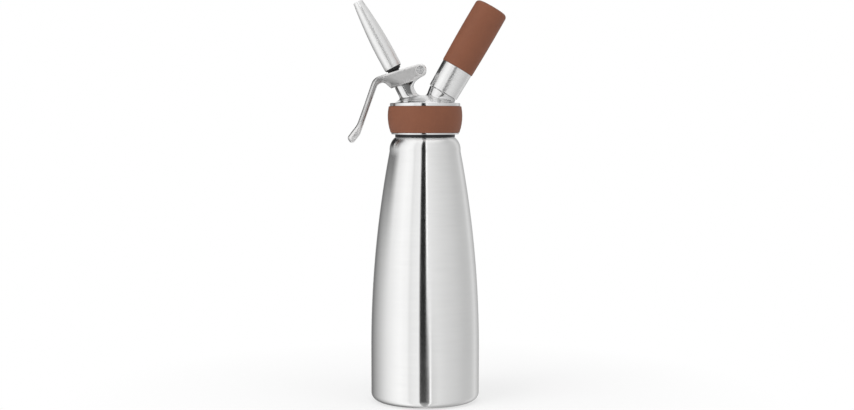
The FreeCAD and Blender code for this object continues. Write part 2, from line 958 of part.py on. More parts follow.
def charger():
    neck_end = charger_seat
    shoulder_start = neck_end + charger_neck_length
    body_start = shoulder_start + charger_shoulder
    end = neck_end + charger_length
    body = revolved(
        (0, neck_end),
        (charger_neck_radius, neck_end, charger_neck_round),
        (charger_neck_radius, shoulder_start),
        ("via", charger_neck_radius + shoulder_bulge_out, shoulder_start + shoulder_bulge_up),
        (charger_radius, body_start),
        (charger_radius, end - charger_end_rise),
        cap_via(charger_radius, end - charger_end_rise, end),
        (0, end),
    )
    recess = rod(cap_radius + fitted_gap, neck_end - cut_past, neck_end + cap_thickness)
    pierced = rod(pierced_radius, neck_end, neck_end + pierced_depth)
    return placed(body.cut([recess, pierced]), holder_frame)


def charger_cap():
    disc = tube(cap_radius, pierced_radius, charger_seat, charger_seat + cap_thickness - fitted_gap)
    return placed(disc, holder_frame)


def charger_gasket():
    outer = charger_neck_radius + charger_gap - seat_gap
    inner = pin_shaft_radius + pin_shaft_gap
    return placed(tube(outer, inner, gasket_seat, charger_seat - seat_gap), holder_frame)


def piercing_pin():
    """Foot in the post and a slim shaft with a point that enters the charger's neck."""
    foot_bottom = pin_foot_bottom + fitted_gap
    foot_top = gasket_seat - fitted_gap
    return placed(
        revolved(
            (0, foot_bottom),
            (pin_foot_radius, foot_bottom),
            (pin_foot_radius, foot_top),
            (pin_shaft_radius, foot_top),
            (pin_shaft_radius, pin_tip - pin_point),
            (0, pin_tip),
        ),
        holder_frame,
    )


def gas_flap():
    """Rubber check valve: a flap on the boss under the dome and its plug in the passage."""
    top = gas_boss_end - fitted_gap
    low = top - flap_thickness
    plug = gas_bore_radius - flap_plug_gap
    return placed(
        revolved(
            (0, low),
            (flap_radius, low, flap_round),
            (flap_radius, top),
            (plug, top),
            (plug, top + flap_plug_length, flap_round),
            (0, top + flap_plug_length),
        ),
        holder_frame,
    )


sub_parts = (
    bottle,
    head,
    head_band,
    head_gasket,
    valve_stem,
    valve_seal,
    stem_o_ring,
    stem_bush,
    valve_spring,
    push_collar,
    collar_clip,
    nozzle,
    nozzle_adapter,
    lever,
    lever_pivot_pin,
    charger_holder,
    holder_grip,
    charger,
    charger_cap,
    charger_gasket,
    piercing_pin,
    gas_flap,
)

os.makedirs("parts", exist_ok=True)
for build in sub_parts:
    shape = build()
    print(build.__name__, shape.isValid(), len(shape.Solids), round(shape.Volume, 1))
    shape.exportStep("parts/" + build.__name__ + ".step")
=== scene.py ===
"""Whipped cream dispenser: fine shapes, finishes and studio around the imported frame.

Sizes in the classes are millimetres and degrees. Blender's objects are in metres.
"""

import logging
import math
from collections.abc import Callable, Sequence
from dataclasses import dataclass, field
from enum import Enum
from functools import reduce
from itertools import product
from math import radians

import bmesh
import bpy
import numpy as np
from mathutils import Matrix, Vector


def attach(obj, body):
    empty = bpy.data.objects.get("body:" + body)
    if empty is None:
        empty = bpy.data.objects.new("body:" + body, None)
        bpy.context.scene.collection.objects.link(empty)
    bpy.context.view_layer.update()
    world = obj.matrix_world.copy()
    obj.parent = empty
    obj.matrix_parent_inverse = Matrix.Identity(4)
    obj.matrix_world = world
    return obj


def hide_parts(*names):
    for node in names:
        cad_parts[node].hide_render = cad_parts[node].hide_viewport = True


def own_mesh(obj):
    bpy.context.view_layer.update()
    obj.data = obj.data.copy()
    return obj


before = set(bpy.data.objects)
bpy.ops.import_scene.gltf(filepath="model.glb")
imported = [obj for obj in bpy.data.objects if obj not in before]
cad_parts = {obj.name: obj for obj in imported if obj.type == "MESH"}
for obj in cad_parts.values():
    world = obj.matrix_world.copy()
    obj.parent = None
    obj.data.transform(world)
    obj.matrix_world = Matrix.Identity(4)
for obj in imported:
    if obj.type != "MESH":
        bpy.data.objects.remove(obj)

LOG = logging.getLogger("dispenser")
MM = 0.001
FULL_TURN = 2 * math.pi
TINY = 1e-6

Piece = bpy.types.Object
Socket = bpy.types.NodeSocket
Values = np.ndarray
Point = tuple[float, float]
Triple = tuple[float, float, float]
Mark = tuple
Field = Callable[[Values, Values, Values], Values]


# Places


@dataclass(frozen=True)
class Lean:
    """Axis in the XZ plane that leans from the upright by an angle towards +X."""

    x: float
    z: float
    angle: float

    def turn(self) -> Point:
        """Sine and cosine of the angle."""
        return math.sin(radians(self.angle)), math.cos(radians(self.angle))

    def local(self, x: Values, z: Values) -> tuple[Values, Values]:
        """Turns row X and Z into coordinates across the axis and along it."""
        (sine, cosine), across, up = self.turn(), x - self.x, z - self.z
        return across * cosine - up * sine, across * sine + up * cosine

    def row(self, across: Values, up: Values) -> tuple[Values, Values]:
        """Turns coordinates across the axis and along it into row X and Z."""
        sine, cosine = self.turn()
        return self.x + across * cosine + up * sine, self.z - across * sine + up * cosine

    def matrix(self) -> Matrix:
        """Matrix in metres of an object that stands on this axis."""
        place = Matrix.Translation((self.x * MM, 0, self.z * MM))
        return place @ Matrix.Rotation(radians(self.angle), 4, "Y")


UPRIGHT = Lean(0, 0, 0)
VALVE = Lean(-27.6, 289.8, -28.3)
HOLDER = Lean(15.66, 268.6, 30.2)
FORK = Lean(-4.0, 287.6, -18.5)


# Outlines


def arc_points(start: Point, via: Point, end: Point, step: float, longest: float) -> list[Point]:
    """Samples the circle arc from start through via to end.

    Args:
        start: First point, left out of the result.
        via: A point on the arc.
        end: Last point.
        step: Largest angle between two points, degrees.
        longest: Largest distance between two points.

    Returns:
        The points after start, with end.
    """
    (ax, az), (bx, bz), (cx, cz) = start, via, end
    turn = 2 * (ax * (bz - cz) + bx * (cz - az) + cx * (az - bz))
    if abs(turn) < TINY:
        return [end]
    a2, b2, c2 = ax**2 + az**2, bx**2 + bz**2, cx**2 + cz**2
    ux = (a2 * (bz - cz) + b2 * (cz - az) + c2 * (az - bz)) / turn
    uz = (a2 * (cx - bx) + b2 * (ax - cx) + c2 * (bx - ax)) / turn
    radius = math.hypot(ax - ux, az - uz)
    first = math.atan2(az - uz, ax - ux)
    sweep = (math.atan2(cz - uz, cx - ux) - first) % FULL_TURN
    if (math.atan2(bz - uz, bx - ux) - first) % FULL_TURN > sweep:
        sweep -= FULL_TURN
    count = math.ceil(max(2, math.degrees(abs(sweep)) / step, abs(sweep) * radius / longest))
    angles = [first + sweep * i / count for i in range(1, count)]
    return [(ux + radius * math.cos(a), uz + radius * math.sin(a)) for a in angles] + [end]


def outline(*marks: Mark, step: float = 9.0, longest: float = 4.0) -> list[Point]:
    """Closed outline from marks.

    Args:
        marks: (x, z), (x, z, rounding), or ("via", x, z) for a point of an arc between neighbours.
        step: Largest angle between two points of an arc, degrees.
        longest: Largest distance between two points of an arc.

    Returns:
        The outline's points, the first one not repeated.
    """
    corners: list[dict] = []
    for mark in marks:
        if mark[0] == "via":
            corners[-1]["via"] = mark[1:]
        else:
            corners.append({"at": np.array(mark[:2], float), "round": (*mark, 0)[2]})
    for i, corner in enumerate(corners):
        at, rounding = corner["at"], corner["round"]
        corner["points"] = [tuple(at)]
        if rounding > 0:
            ways = [corners[j % len(corners)]["at"] - at for j in (i - 1, i + 1)]
            ways = [way / np.linalg.norm(way) for way in ways]
            half = math.acos(float(np.clip(ways[0] @ ways[1], -1, 1))) / 2
            middle = (ways[0] + ways[1]) / np.linalg.norm(ways[0] + ways[1])
            crest = at + middle * rounding * (1 / math.sin(half) - 1)
            start, end = (tuple(at + way * (rounding / math.tan(half))) for way in ways)
            corner["points"] = [start] + arc_points(start, tuple(crest), end, step, longest)
    points: list[Point] = []
    for corner, after in zip(corners, corners[1:] + corners[:1]):
        points += corner["points"]
        if "via" in corner:
            end = after["points"][0]
            points += arc_points(points[-1], corner["via"], end, step, longest)[:-1]
    return [(float(x), float(z)) for x, z in points]


# Meshes


def linked(data: bpy.types.ID) -> Piece:
    """Puts an object into the scene.

    Args:
        data: Its mesh, lamp or camera, which has its name.

    Returns:
        The object.
    """
    made = bpy.data.objects.new(data.name, data)
    bpy.context.scene.collection.objects.link(made)
    return made


def make_object(
    name: str, vertices: Values, faces: Sequence, place: Matrix, sharp: float = 38.0
) -> Piece:
    """Makes an object from millimetre vertices.

    Args:
        name: Name of the object and its mesh.
        vertices: Vertices in the object's own frame.
        faces: Vertex numbers of each face.
        place: The object's matrix, metres.
        sharp: Edges with a larger angle than this stay crisp, degrees.

    Returns:
        The linked object, smooth apart from its crisp edges.
    """
    mesh = bpy.data.meshes.new(name)
    mesh.from_pydata((np.asarray(vertices, float) * MM).tolist(), [], faces)
    work = bmesh.new()
    work.from_mesh(mesh)
    bmesh.ops.recalc_face_normals(work, faces=work.faces)
    work.to_mesh(mesh)
    work.free()
    mesh.shade_smooth()
    mesh.set_sharp_from_angle(angle=radians(sharp))
    made = linked(mesh)
    made.matrix_world = place
    return made


def tube_faces(rings: int, around: int) -> list[list[int]]:
    """Quads between each ring of vertices and the next.

    Args:
        rings: Number of rings.
        around: Vertices in a ring.

    Returns:
        Vertex numbers of each quad.
    """
    faces = []
    for low, column in product(range(0, (rings - 1) * around, around), range(around)):
        high, after = low + around, (column + 1) % around
        faces.append([low + column, low + after, high + after, high + column])
    return faces


@dataclass(frozen=True)
class Thread:
    """Rounded thread rolled into a round wall, right-handed."""

    radius: float
    low: float
    high: float
    lead: float
    depth: float
    run_out: float = 1.5

    def offset(self, angles: Values, height: float) -> Values:
        """Radial offset of a ring's vertices, zero above and below the thread.

        Args:
            angles: Angles of the vertices, radians.
            height: The ring's height.

        Returns:
            One offset per vertex.
        """
        fade = np.clip(min(height - self.low, self.high - height) / self.run_out, 0, 1)
        ridge = 0.5 + 0.5 * np.cos(FULL_TURN * height / self.lead - angles)
        return -self.depth * fade * ridge**0.8

    def rows(self, across: int = 12) -> list[Point]:
        """Marks of the threaded wall, dense enough for its flanks."""
        count = round((self.high - self.low) / self.lead * across)
        return [(self.radius, float(height)) for height in np.linspace(self.low, self.high, count)]


def turned(
    name: str,
    marks: Sequence[Mark],
    axis: Lean = UPRIGHT,
    segments: int = 128,
    thread: Thread | None = None,
) -> Piece:
    """Turns a closed profile about an axis.

    Args:
        name: Name of the object.
        marks: Marks of its profile, (radius, height).
        axis: The axis it is turned about.
        segments: Faces round the axis.
        thread: Thread rolled into one of its walls.

    Returns:
        The object.
    """
    angles = np.arange(segments) * FULL_TURN / segments
    vertices: list[Triple] = []
    rings: list[range] = []
    for radius, height in outline(*marks):
        ring = angles if radius > TINY else angles[:1]
        radii = np.full(len(ring), radius)
        if thread and abs(radius - thread.radius) < TINY:
            radii += thread.offset(ring, height)
        rings.append(range(len(vertices), len(vertices) + len(ring)))
        vertices += zip(radii * np.cos(ring), radii * np.sin(ring), [height] * len(ring))
    faces = []
    for lower, upper in zip(rings, rings[1:] + rings[:1]):
        for i in range(segments):
            turns = ((lower, i), (lower, i + 1), (upper, i + 1), (upper, i))
            faces.append(list(dict.fromkeys(ring[j % len(ring)] for ring, j in turns)))
    faces = [face for face in faces if len(face) > 2]
    return make_object(name, np.array(vertices), faces, axis.matrix())


# Cast forms, from distance fields


def fused(first: Values, second: Values, width: float) -> Values:
    """Two forms as one, with a fillet that starts a width from their meeting line."""
    share = np.clip(0.5 + 0.5 * (second - first) / width, 0, 1)
    return second + (first - second) * share - width * share * (1 - share)


def trimmed(first: Values, second: Values, width: float) -> Values:
    """Part of the first form that lies in the second, with its edge rounded over width."""
    return -fused(-first, -second, width)


def carved(first: Values, second: Values, width: float) -> Values:
    """First form without the second, with the rim rounded over width."""
    return -fused(-first, second, width)


def common(*forms: Values) -> Values:
    """Part that lies in every form, with crisp edges."""
    return reduce(np.maximum, forms)


def cone(radial: Values, up: Values, low: Point, high: Point, rounding: float) -> Values:
    """Form that tapers from a low (radius, height) to a high one, its top edge rounded."""
    side = radial - low[0] - (up - low[1]) * (high[0] - low[0]) / (high[1] - low[1])
    return np.maximum(trimmed(side, up - high[1], rounding), low[1] - up)


def grade(value: Values, start: float, width: float) -> Values:
    """Share that grows from 0 at the start to 1 over a width."""
    return np.clip((value - start) / width, 0, 1)


def outline_distance(x: Values, z: Values, points: Sequence[Point]) -> Values:
    """Signed distance to a closed outline.

    Args:
        x: First coordinates.
        z: Second coordinates.
        points: The outline.

    Returns:
        Distances, negative inside.
    """
    nearest = np.full(np.broadcast(x, z).shape, np.inf)
    inside = np.zeros(nearest.shape, bool)
    for (ax, az), (bx, bz) in zip(points, points[1:] + points[:1]):
        ex, ez = bx - ax, bz - az
        length = ex**2 + ez**2
        if length < TINY**2:
            continue
        along = np.clip(((x - ax) * ex + (z - az) * ez) / length, 0, 1)
        nearest = np.minimum(nearest, (x - ax - along * ex) ** 2 + (z - az - along * ez) ** 2)
        if abs(ez) > TINY**2:
            inside ^= ((az > z) != (bz > z)) & (x < ax + (z - az) * ex / ez)
    return np.where(inside, -1.0, 1.0) * np.sqrt(nearest)


@dataclass
class Casting:
    """Solid given by a distance field, meshed with its vertices on the exact surface."""

    form: Field
    painted_shade: Field
    low: Triple
    high: Triple
    cell: float = 0.45
    reach: float = 0.02

    def settle(self, points: Values, rounds: int) -> Values:
        """Moves points onto the surface along the field's slope.

        Args:
            points: Points near the surface.
            rounds: How many steps to take.

        Returns:
            The moved points.
        """
        for _ in range(rounds):
            ends = [(points + shift, points - shift) for shift in self.reach * np.eye(3)]
            slope = [self.form(*after.T) - self.form(*before.T) for after, before in ends]
            slope = np.stack(slope, axis=1) / (2 * self.reach)
            size = np.maximum((slope**2).sum(axis=1), 0.05)
            step = (self.form(*points.T) / size)[:, None] * slope
            length = np.maximum(np.linalg.norm(step, axis=1), TINY)
            points = points - step * np.minimum(1, self.cell / length)[:, None]
        return points

    def nets(self) -> tuple[Values, Values]:
        """Puts a vertex in each cell that the surface crosses and a quad across each crossed edge.

        Returns:
            The vertices and the quads.
        """
        axes = [np.arange(a, b + self.cell, self.cell) for a, b in zip(self.low, self.high)]
        values = np.array(np.broadcast_to(self.form(*np.ix_(*axes)), [len(a) for a in axes]))
        inside = values < 0
        count = np.lib.stride_tricks.sliding_window_view(inside, (2, 2, 2)).sum(axis=(3, 4, 5))
        crossed = (count > 0) & (count < 8)
        cells = np.argwhere(crossed)
        number = np.full(crossed.shape, -1)
        number[crossed] = np.arange(len(cells))
        place, hits, quads = np.zeros((len(cells), 3)), np.zeros(len(cells)), []
        unit = np.eye(3, dtype=int)
        for axis in range(3):
            others = [(axis + 1) % 3, (axis + 2) % 3]
            for shift in product((0, 1), repeat=2):
                start = cells + shift @ unit[others]
                a, b = values[tuple(start.T)], values[tuple((start + unit[axis]).T)]
                cross = (a < 0) != (b < 0)
                share = np.where(cross, a / np.where(cross, a - b, 1), 0)
                place += (start + share[:, None] * unit[axis]) * cross[:, None]
                hits += cross
            edges = np.argwhere(np.diff(inside, axis=axis))
            edges = edges[((edges > 0) & (edges < crossed.shape))[:, others].all(axis=1)]
            backs = ((1, 1), (0, 1), (0, 0), (1, 0))
            ring = [number[tuple((edges - back @ unit[others]).T)] for back in backs]
            quad = np.stack(ring, axis=1)
            quads.append(np.where(inside[tuple(edges.T)][:, None], quad, quad[:, ::-1]))
        return np.array(self.low) + place / hits[:, None] * self.cell, np.concatenate(quads)

    def make(self, name: str, axis: Lean) -> Piece:
        """Meshes the form, evens the mesh out and stores on each vertex its share of painted
        shade.

        Args:
            name: Name of the object.
            axis: The frame that the form is given in.

        Returns:
            The object, with its vertices in row coordinates.
        """
        points, quads = self.nets()
        ends = np.concatenate([quads[:, [i, (i + 1) % 4]] for i in range(4)])
        here, there = np.concatenate([ends, ends[:, ::-1]]).T
        weight = np.maximum(np.bincount(here, minlength=len(points)), 1)[:, None]
        points = self.settle(points, 3)
        for _ in range(3):
            total = [np.bincount(here, values, len(points)) for values in points[there].T]
            points = self.settle((points + np.stack(total, axis=1) / weight) / 2, 2)
        share = self.painted_shade(*points.T)
        points[:, 0], points[:, 2] = axis.row(points[:, 0], points[:, 2])
        made = make_object(name, points, quads.tolist(), Matrix(), sharp=62.0)
        layer = made.data.attributes.new("painted_shade", "FLOAT", "POINT")
        layer.data.foreach_set("value", share.astype(np.float32))
        return made


# Finishes


class Wiring:
    """Short way to place and link the nodes of one material or world."""

    def __init__(self, owner: bpy.types.Material | bpy.types.World) -> None:
        """Empties the owner's node tree.

        Args:
            owner: The material or world to fill.
        """
        owner.use_nodes = True
        self.tree = owner.node_tree
        self.tree.nodes.clear()

    def add(self, kind: str, inputs: dict | None = None, **settings: object) -> bpy.types.Node:
        """Adds a node.

        Args:
            kind: Node type without its "ShaderNode" prefix.
            inputs: Values or output sockets for the node's inputs, by name or number.
            settings: The node's own properties.

        Returns:
            The node.
        """
        node = self.tree.nodes.new("ShaderNode" + kind)
        for key, value in settings.items():
            setattr(node, key, value)
        for key, value in (inputs or {}).items():
            if isinstance(value, Socket):
                self.tree.links.new(value, node.inputs[key])
            else:
                node.inputs[key].default_value = value
        return node

    def combine(self, operation: str, *values: Socket | float) -> Socket:
        """Result of a math operation."""
        return self.add("Math", dict(enumerate(values)), operation=operation).outputs[0]

    def times(self, *values: Socket) -> Socket:
        """Product of values."""
        return reduce(lambda first, second: self.combine("MULTIPLY", first, second), values)

    def ramp(
        self, value: Socket, low: float, high: float, start: float = 0.0, end: float = 1.0
    ) -> Socket:
        """Maps a value from low and high to start and end, clamped."""
        return self.add("MapRange", dict(enumerate((value, low, high, start, end)))).outputs[0]

    def mix(self, share: Socket, first: Socket | Triple, second: Socket | Triple) -> Socket:
        """Mixes two colours by the share of the second."""
        first, second = (c if isinstance(c, Socket) else (*c, 1.0) for c in (first, second))
        return self.add("Mix", {0: share, 6: first, 7: second}, data_type="RGBA").outputs[2]

    def noise(self, scale: Triple, detail: float = 4.0, roughness: float = 0.55) -> Socket:
        """Noise in the object's own coordinates.

        Args:
            scale: Cells per metre along each axis.
            detail: Octaves.
            roughness: Weight of the finer octaves.

        Returns:
            The noise value's socket.
        """
        where = {"Vector": self.add("TexCoord").outputs["Object"], "Scale": scale}
        inputs = {"Vector": self.add("Mapping", where).outputs["Vector"], "Scale": 1.0}
        inputs |= {"Detail": detail, "Roughness": roughness}
        return self.add("TexNoise", inputs).outputs[0]

    def bump(self, height: Socket, distance: float, strength: float) -> Socket:
        """Normal bumped by a height, over a distance in metres."""
        inputs = {"Height": height, "Distance": distance, "Strength": strength}
        return self.add("Bump", inputs).outputs["Normal"]

    def pointed(self, most: float) -> Socket:
        """Share of worn edge, 1 where an edge is as pointed as most."""
        return self.ramp(self.add("NewGeometry").outputs["Pointiness"], 0.5, most)

    def seen_by(self, *rays: str) -> Socket:
        """1 on the named kinds of ray, 0 on others."""
        path = self.add("LightPath").outputs
        return self.combine("MAXIMUM", *(path[ray] for ray in rays))


@dataclass(frozen=True)
class Finish:
    """Finish of a piece; its material takes the finish's name."""

    name: str
    tint: Triple
    roughness: float
    slot: str = field(default="", kw_only=True)

    def shade(self, factor: float) -> Triple:
        """The tint made darker or lighter by a factor."""
        return tuple(min(1.0, part * factor) for part in self.tint)

    def surface(self, wiring: Wiring) -> dict[str, Socket | float]:
        """Inputs of the finish's shader."""
        raise NotImplementedError

    def material(self) -> bpy.types.Material:
        """Makes the finish.

        Returns:
            Its node material.
        """
        made = bpy.data.materials.new(self.name)
        wiring = Wiring(made)
        shader = wiring.add("BsdfPrincipled", self.surface(wiring))
        wiring.add("OutputMaterial", {"Surface": shader.outputs[0]})
        return made


class Grain(Enum):
    """How a metal surface was worked: whether its lines run across X, Y and Z."""

    AROUND = (False, False, True)
    ALONG = (True, True, False)
    EVEN = (True, True, True)


@dataclass(frozen=True)
class Metal(Finish):
    """Worked metal: tint, gloss, grain, faint marks, worn edges and painted shade."""

    grain: Grain
    spread: float = 0.05
    depth: float = 1e-5
    anisotropy: float = 0.0
    fine: float = 5200.0
    coarse: float = 60.0
    wear: float = 0.06
    mottle: float = 0.04
    # How far the colour darkens in hollows: painted shade.
    cavity: float = 0.0
    # Whether a per-vertex share of painted shade darkens the colour.
    painted_shade: bool = False
    top_haze: float = 0.0

    def lines(self, wiring: Wiring, fine: float, detail: float, roughness: float) -> Socket:
        """Noise drawn out along the grain, with fine cells per metre across it."""
        scale = tuple(fine if across else self.coarse for across in self.grain.value)
        return wiring.noise(scale, detail, roughness)

    def surface(self, wiring: Wiring) -> dict[str, Socket | float]:
        """Wires the worked surface.

        Args:
            wiring: The material's nodes.

        Returns:
            The shader's inputs.
        """
        lines = self.lines(wiring, self.fine, 5.0, 0.7)
        streaks = self.lines(wiring, self.fine / 9, 3.0, 0.55)
        clouds = wiring.noise((38.0,) * 3, 3.0)
        tone = wiring.ramp(wiring.combine("ADD", streaks, clouds), 0.7, 1.3)
        color = wiring.mix(tone, self.shade(1 - self.mottle), self.shade(1 + self.mottle * 0.8))
        color = wiring.mix(wiring.pointed(0.58), color, self.shade(1 + self.wear))
        smooth, coarse = self.roughness - self.spread, self.roughness + self.spread
        smudges = wiring.ramp(clouds, 0.35, 0.7, -self.spread / 2, self.spread / 2)
        rough = wiring.combine("ADD", wiring.ramp(lines, 0.3, 0.7, smooth, coarse), smudges)
        if self.top_haze:
            facing = wiring.add("NewGeometry").outputs["Normal"]
            upward = wiring.add("SeparateXYZ", {0: facing}).outputs[2]
            rough = wiring.combine("ADD", rough, wiring.ramp(upward, 0.7, 0.95, 0, self.top_haze))
        # Painted shade: the colour darkens where ambient occlusion finds a nearby wall, standing
        # in for shade in hollows and creases.
        if self.cavity:
            clear = wiring.add("AmbientOcclusion", {"Distance": 0.006}, samples=16).outputs["AO"]
            hollow_shade = wiring.ramp(clear, 0.25, 0.8, self.cavity, 0.0)
            color = wiring.mix(hollow_shade, color, self.shade(0.16))
        # Painted shade: the colour darkens by the share of painted shade stored on each vertex.
        if self.painted_shade:
            skin = wiring.add("Attribute", attribute_name="painted_shade").outputs["Fac"]
            color = wiring.mix(skin, color, self.shade(0.2))
        inputs = {"Base Color": color, "Metallic": 1.0, "Roughness": rough}
        inputs["Normal"] = wiring.bump(lines, self.depth, 0.35)
        if self.anisotropy:
            tangent = wiring.add("Tangent", direction_type="RADIAL", axis="Z")
            inputs |= {"Tangent": tangent.outputs[0], "Anisotropic": self.anisotropy}
            inputs["Anisotropic Rotation"] = 0.25 if self.grain is Grain.AROUND else 0.0
        return inputs


@dataclass(frozen=True)
class Moulded(Finish):
    """Moulded silicone, rubber or plastic: tint, skin texture and slightly paler edges."""

    skin: float = 1500.0
    depth: float = 3e-5
    specular: float = 0.4
    sheen: float = 0.0
    edge: float = 1.12

    def surface(self, wiring: Wiring) -> dict[str, Socket | float]:
        """Wires the moulded skin.

        Args:
            wiring: The material's nodes.

        Returns:
            The shader's inputs.
        """
        grain = wiring.noise((self.skin,) * 3, 5.0, 0.6)
        clouds = wiring.noise((45.0,) * 3, 4.0)
        specks = wiring.noise((self.skin / 3,) * 3, 2.0)
        tone = wiring.ramp(wiring.combine("ADD", grain, clouds), 0.75, 1.25)
        color = wiring.mix(tone, self.shade(0.93), self.shade(1.07))
        return {
            "Base Color": wiring.mix(wiring.pointed(0.6), color, self.shade(self.edge)),
            "Roughness": wiring.ramp(
                clouds, 0.3, 0.7, self.roughness - 0.05, self.roughness + 0.05
            ),
            "Specular IOR Level": self.specular,
            "Sheen Weight": self.sheen,
            "Normal": wiring.bump(wiring.combine("ADD", grain, specks), self.depth, 0.4),
        }


# Its darkening in hollows is painted shade where the shoulder sits under the head's lip.
SPUN_STEEL = Metal(
    "spun_steel", (0.88, 0.88, 0.876), 0.17, Grain.AROUND, 0.02, 2e-6,
    anisotropy=0.95, coarse=30.0, mottle=0.022, cavity=0.55,
)
POLISHED_STEEL = Metal(
    "polished_steel", (0.85, 0.85, 0.855), 0.13, Grain.EVEN, 0.03, 6e-6, fine=900.0
)
PIN_STEEL = Metal(
    "pin_steel", (0.9, 0.9, 0.9), 0.27, Grain.EVEN, 0.03, 6e-6, fine=900.0, slot="polished_steel"
)
# Paints shade into the casting's hollows, its lug recesses and the tower's left flank.
DOME_STEEL = Metal(
    "dome_steel", (0.85, 0.85, 0.85), 0.2, Grain.EVEN, 0.03, 4e-6,
    fine=900.0, cavity=0.8, painted_shade=True, top_haze=0.16, slot="polished_steel",
)
SATIN_TUBE = Metal(
    "satin_steel", (0.88, 0.88, 0.877), 0.27, Grain.AROUND, 0.02, 1.5e-6, anisotropy=0.65
)
NOZZLE_STEEL = Metal(
    "nozzle_steel", (0.93, 0.93, 0.926), 0.4, Grain.AROUND, 0.015, 8e-7,
    anisotropy=0.3, mottle=0.02, slot="satin_steel",
)
# Paints shade into the lever's hollows and onto the strap's inner side.
CAST_STEEL = Metal(
    "cast_steel", (0.84, 0.833, 0.828), 0.38, Grain.EVEN, 0.04, 3e-6,
    fine=1900.0, wear=0.19, mottle=0.07, cavity=0.85, painted_shade=True,
)
# Near-black: painted shade standing in for the dark gap under the head's lip.
NECK_PAINTED_SHADE = Metal(
    "neck_steel", (0.045, 0.045, 0.047), 0.42, Grain.AROUND, fine=2200.0, slot="spun_steel"
)
INNER_STEEL = Metal("inner_steel", (0.66, 0.66, 0.65), 0.3, Grain.AROUND)
CHARGER_STEEL = Metal("charger_steel", (0.7, 0.7, 0.69), 0.28, Grain.ALONG)
BROWN_SILICONE = Moulded(
    "brown_silicone", (0.2, 0.074, 0.04), 0.58, 1500.0, 4e-5, 0.25, sheen=0.03
)
BLACK_PLASTIC = Moulded("black_plastic", (0.012, 0.012, 0.013), 0.38, 1100.0)
SEAL_RUBBER = Moulded("seal_rubber", (0.022, 0.022, 0.022), 0.6, 900.0)
BUSH_PLASTIC = Moulded("bush_plastic", (0.68, 0.66, 0.6), 0.45, 1100.0)


@dataclass
class Wardrobe:
    """Makes each finish once and puts it on pieces."""

    made: dict[str, bpy.types.Material] = field(default_factory=dict)

    def dress(self, piece: Piece, finish: Finish) -> None:
        """Puts a finish on a piece.

        Args:
            piece: The piece, new or from the frame.
            finish: Its finish.
        """
        if finish.name not in self.made:
            self.made[finish.name] = finish.material()
        if not piece.material_slots:
            piece.data.materials.append(None)
        for slot in piece.material_slots:
            slot.material = self.made[finish.name]

    def fit(self, piece: Piece, finish: Finish, body: str, *nodes: str) -> None:
        """Dresses a new piece and ties it to the frame.

        Args:
            piece: The new piece.
            finish: Its finish.
            body: The body that it rides on.
            nodes: The nodes that it stands for.
        """
        self.dress(piece, finish)
        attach(piece, body)
        if nodes:
            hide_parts(*nodes)
        LOG.info("%s rides on %s, %d faces", piece.name, body, len(piece.data.polygons))


# Sub-assemblies


class Assembly:
    """Sub-assembly whose new pieces ride on one body."""

    body = ""

    def pieces(self) -> list[tuple]:
        """The pieces, each with its finish and the nodes that it stands for."""
        raise NotImplementedError

    def build(self, wardrobe: Wardrobe) -> None:
        """Builds, dresses and ties the pieces.

        Args:
            wardrobe: The finishes.
        """
        for piece, finish, *nodes in self.pieces():
            wardrobe.fit(piece, finish, self.body, *nodes)


@dataclass
class Bottle(Assembly):
    """Spun bottle with a rolled thread on its neck."""

    body: str = "bottle"
    radius: float = 47.4
    wall: float = 1.2
    base_corner: float = 7.2
    straight: float = 45.0
    shoulder_radius: float = 31.0
    shoulder: float = 217.8
    neck_radius: float = 26.0
    neck_start: float = 230.0
    core: float = 24.95
    height: float = 251.0
    neck_bow: float = 30.25
    foot_radius: float = 37.0
    foot_slope: float = 3.0
    foot_rise: float = 0.45
    lip: float = 0.5
    segments: int = 192
    thread: Thread = Thread(26.0, 232.2, 249.6, 4.0, 0.7)

    def shell(self) -> Piece:
        """The spun shell, whose long curve is one arc.

        Returns:
            The object.
        """
        wall, neck, top = self.wall, self.neck_radius, self.height
        middle, high = (self.straight + self.shoulder) / 2, (self.shoulder + self.neck_start) / 2
        rise, inset = self.shoulder - self.straight, self.radius - self.shoulder_radius
        curve = (rise**2 + inset**2) / (2 * inset)
        bow = self.radius - curve + math.sqrt(curve**2 - (middle - self.straight) ** 2)
        marks = (
            (0, self.foot_rise), (self.foot_radius - self.foot_slope, self.foot_rise),
            (self.foot_radius, 0, 1.5), (self.radius, 0, self.base_corner),
            (self.radius, self.straight), ("via", bow, middle),
            (self.shoulder_radius, self.shoulder), ("via", self.neck_bow, high),
            (neck, self.neck_start), (self.core, self.neck_start + 0.1),
            (self.core, top - 1.2), (neck, top - 1.2), (neck, top, self.lip),
            (neck - wall, top, self.lip), (neck - wall, self.neck_start - wall),
            ("via", self.neck_bow - wall, high - wall),
            (self.shoulder_radius - wall, self.shoulder), ("via", bow - wall, middle),
            (self.radius - wall, self.straight),
            (self.radius - wall, wall, self.base_corner - wall), (0, wall),
        )
        return turned("bottle_shell", marks, segments=self.segments)

    def neck(self) -> Piece:
        """Threaded sleeve of the neck, near-black as painted shade under the head's lip.

        Returns:
            The object.
        """
        low, high = self.neck_start + 0.1, self.height - 1.25
        marks = (
            (self.core, low), (self.neck_radius, low), *self.thread.rows(),
            (self.neck_radius, high), (self.core, high),
        )
        return turned("bottle_neck", marks, segments=self.segments, thread=self.thread)

    def pieces(self) -> list[tuple]:
        """Shell and neck."""
        return [(self.shell(), SPUN_STEEL, "bottle"), (self.neck(), NECK_PAINTED_SHADE)]


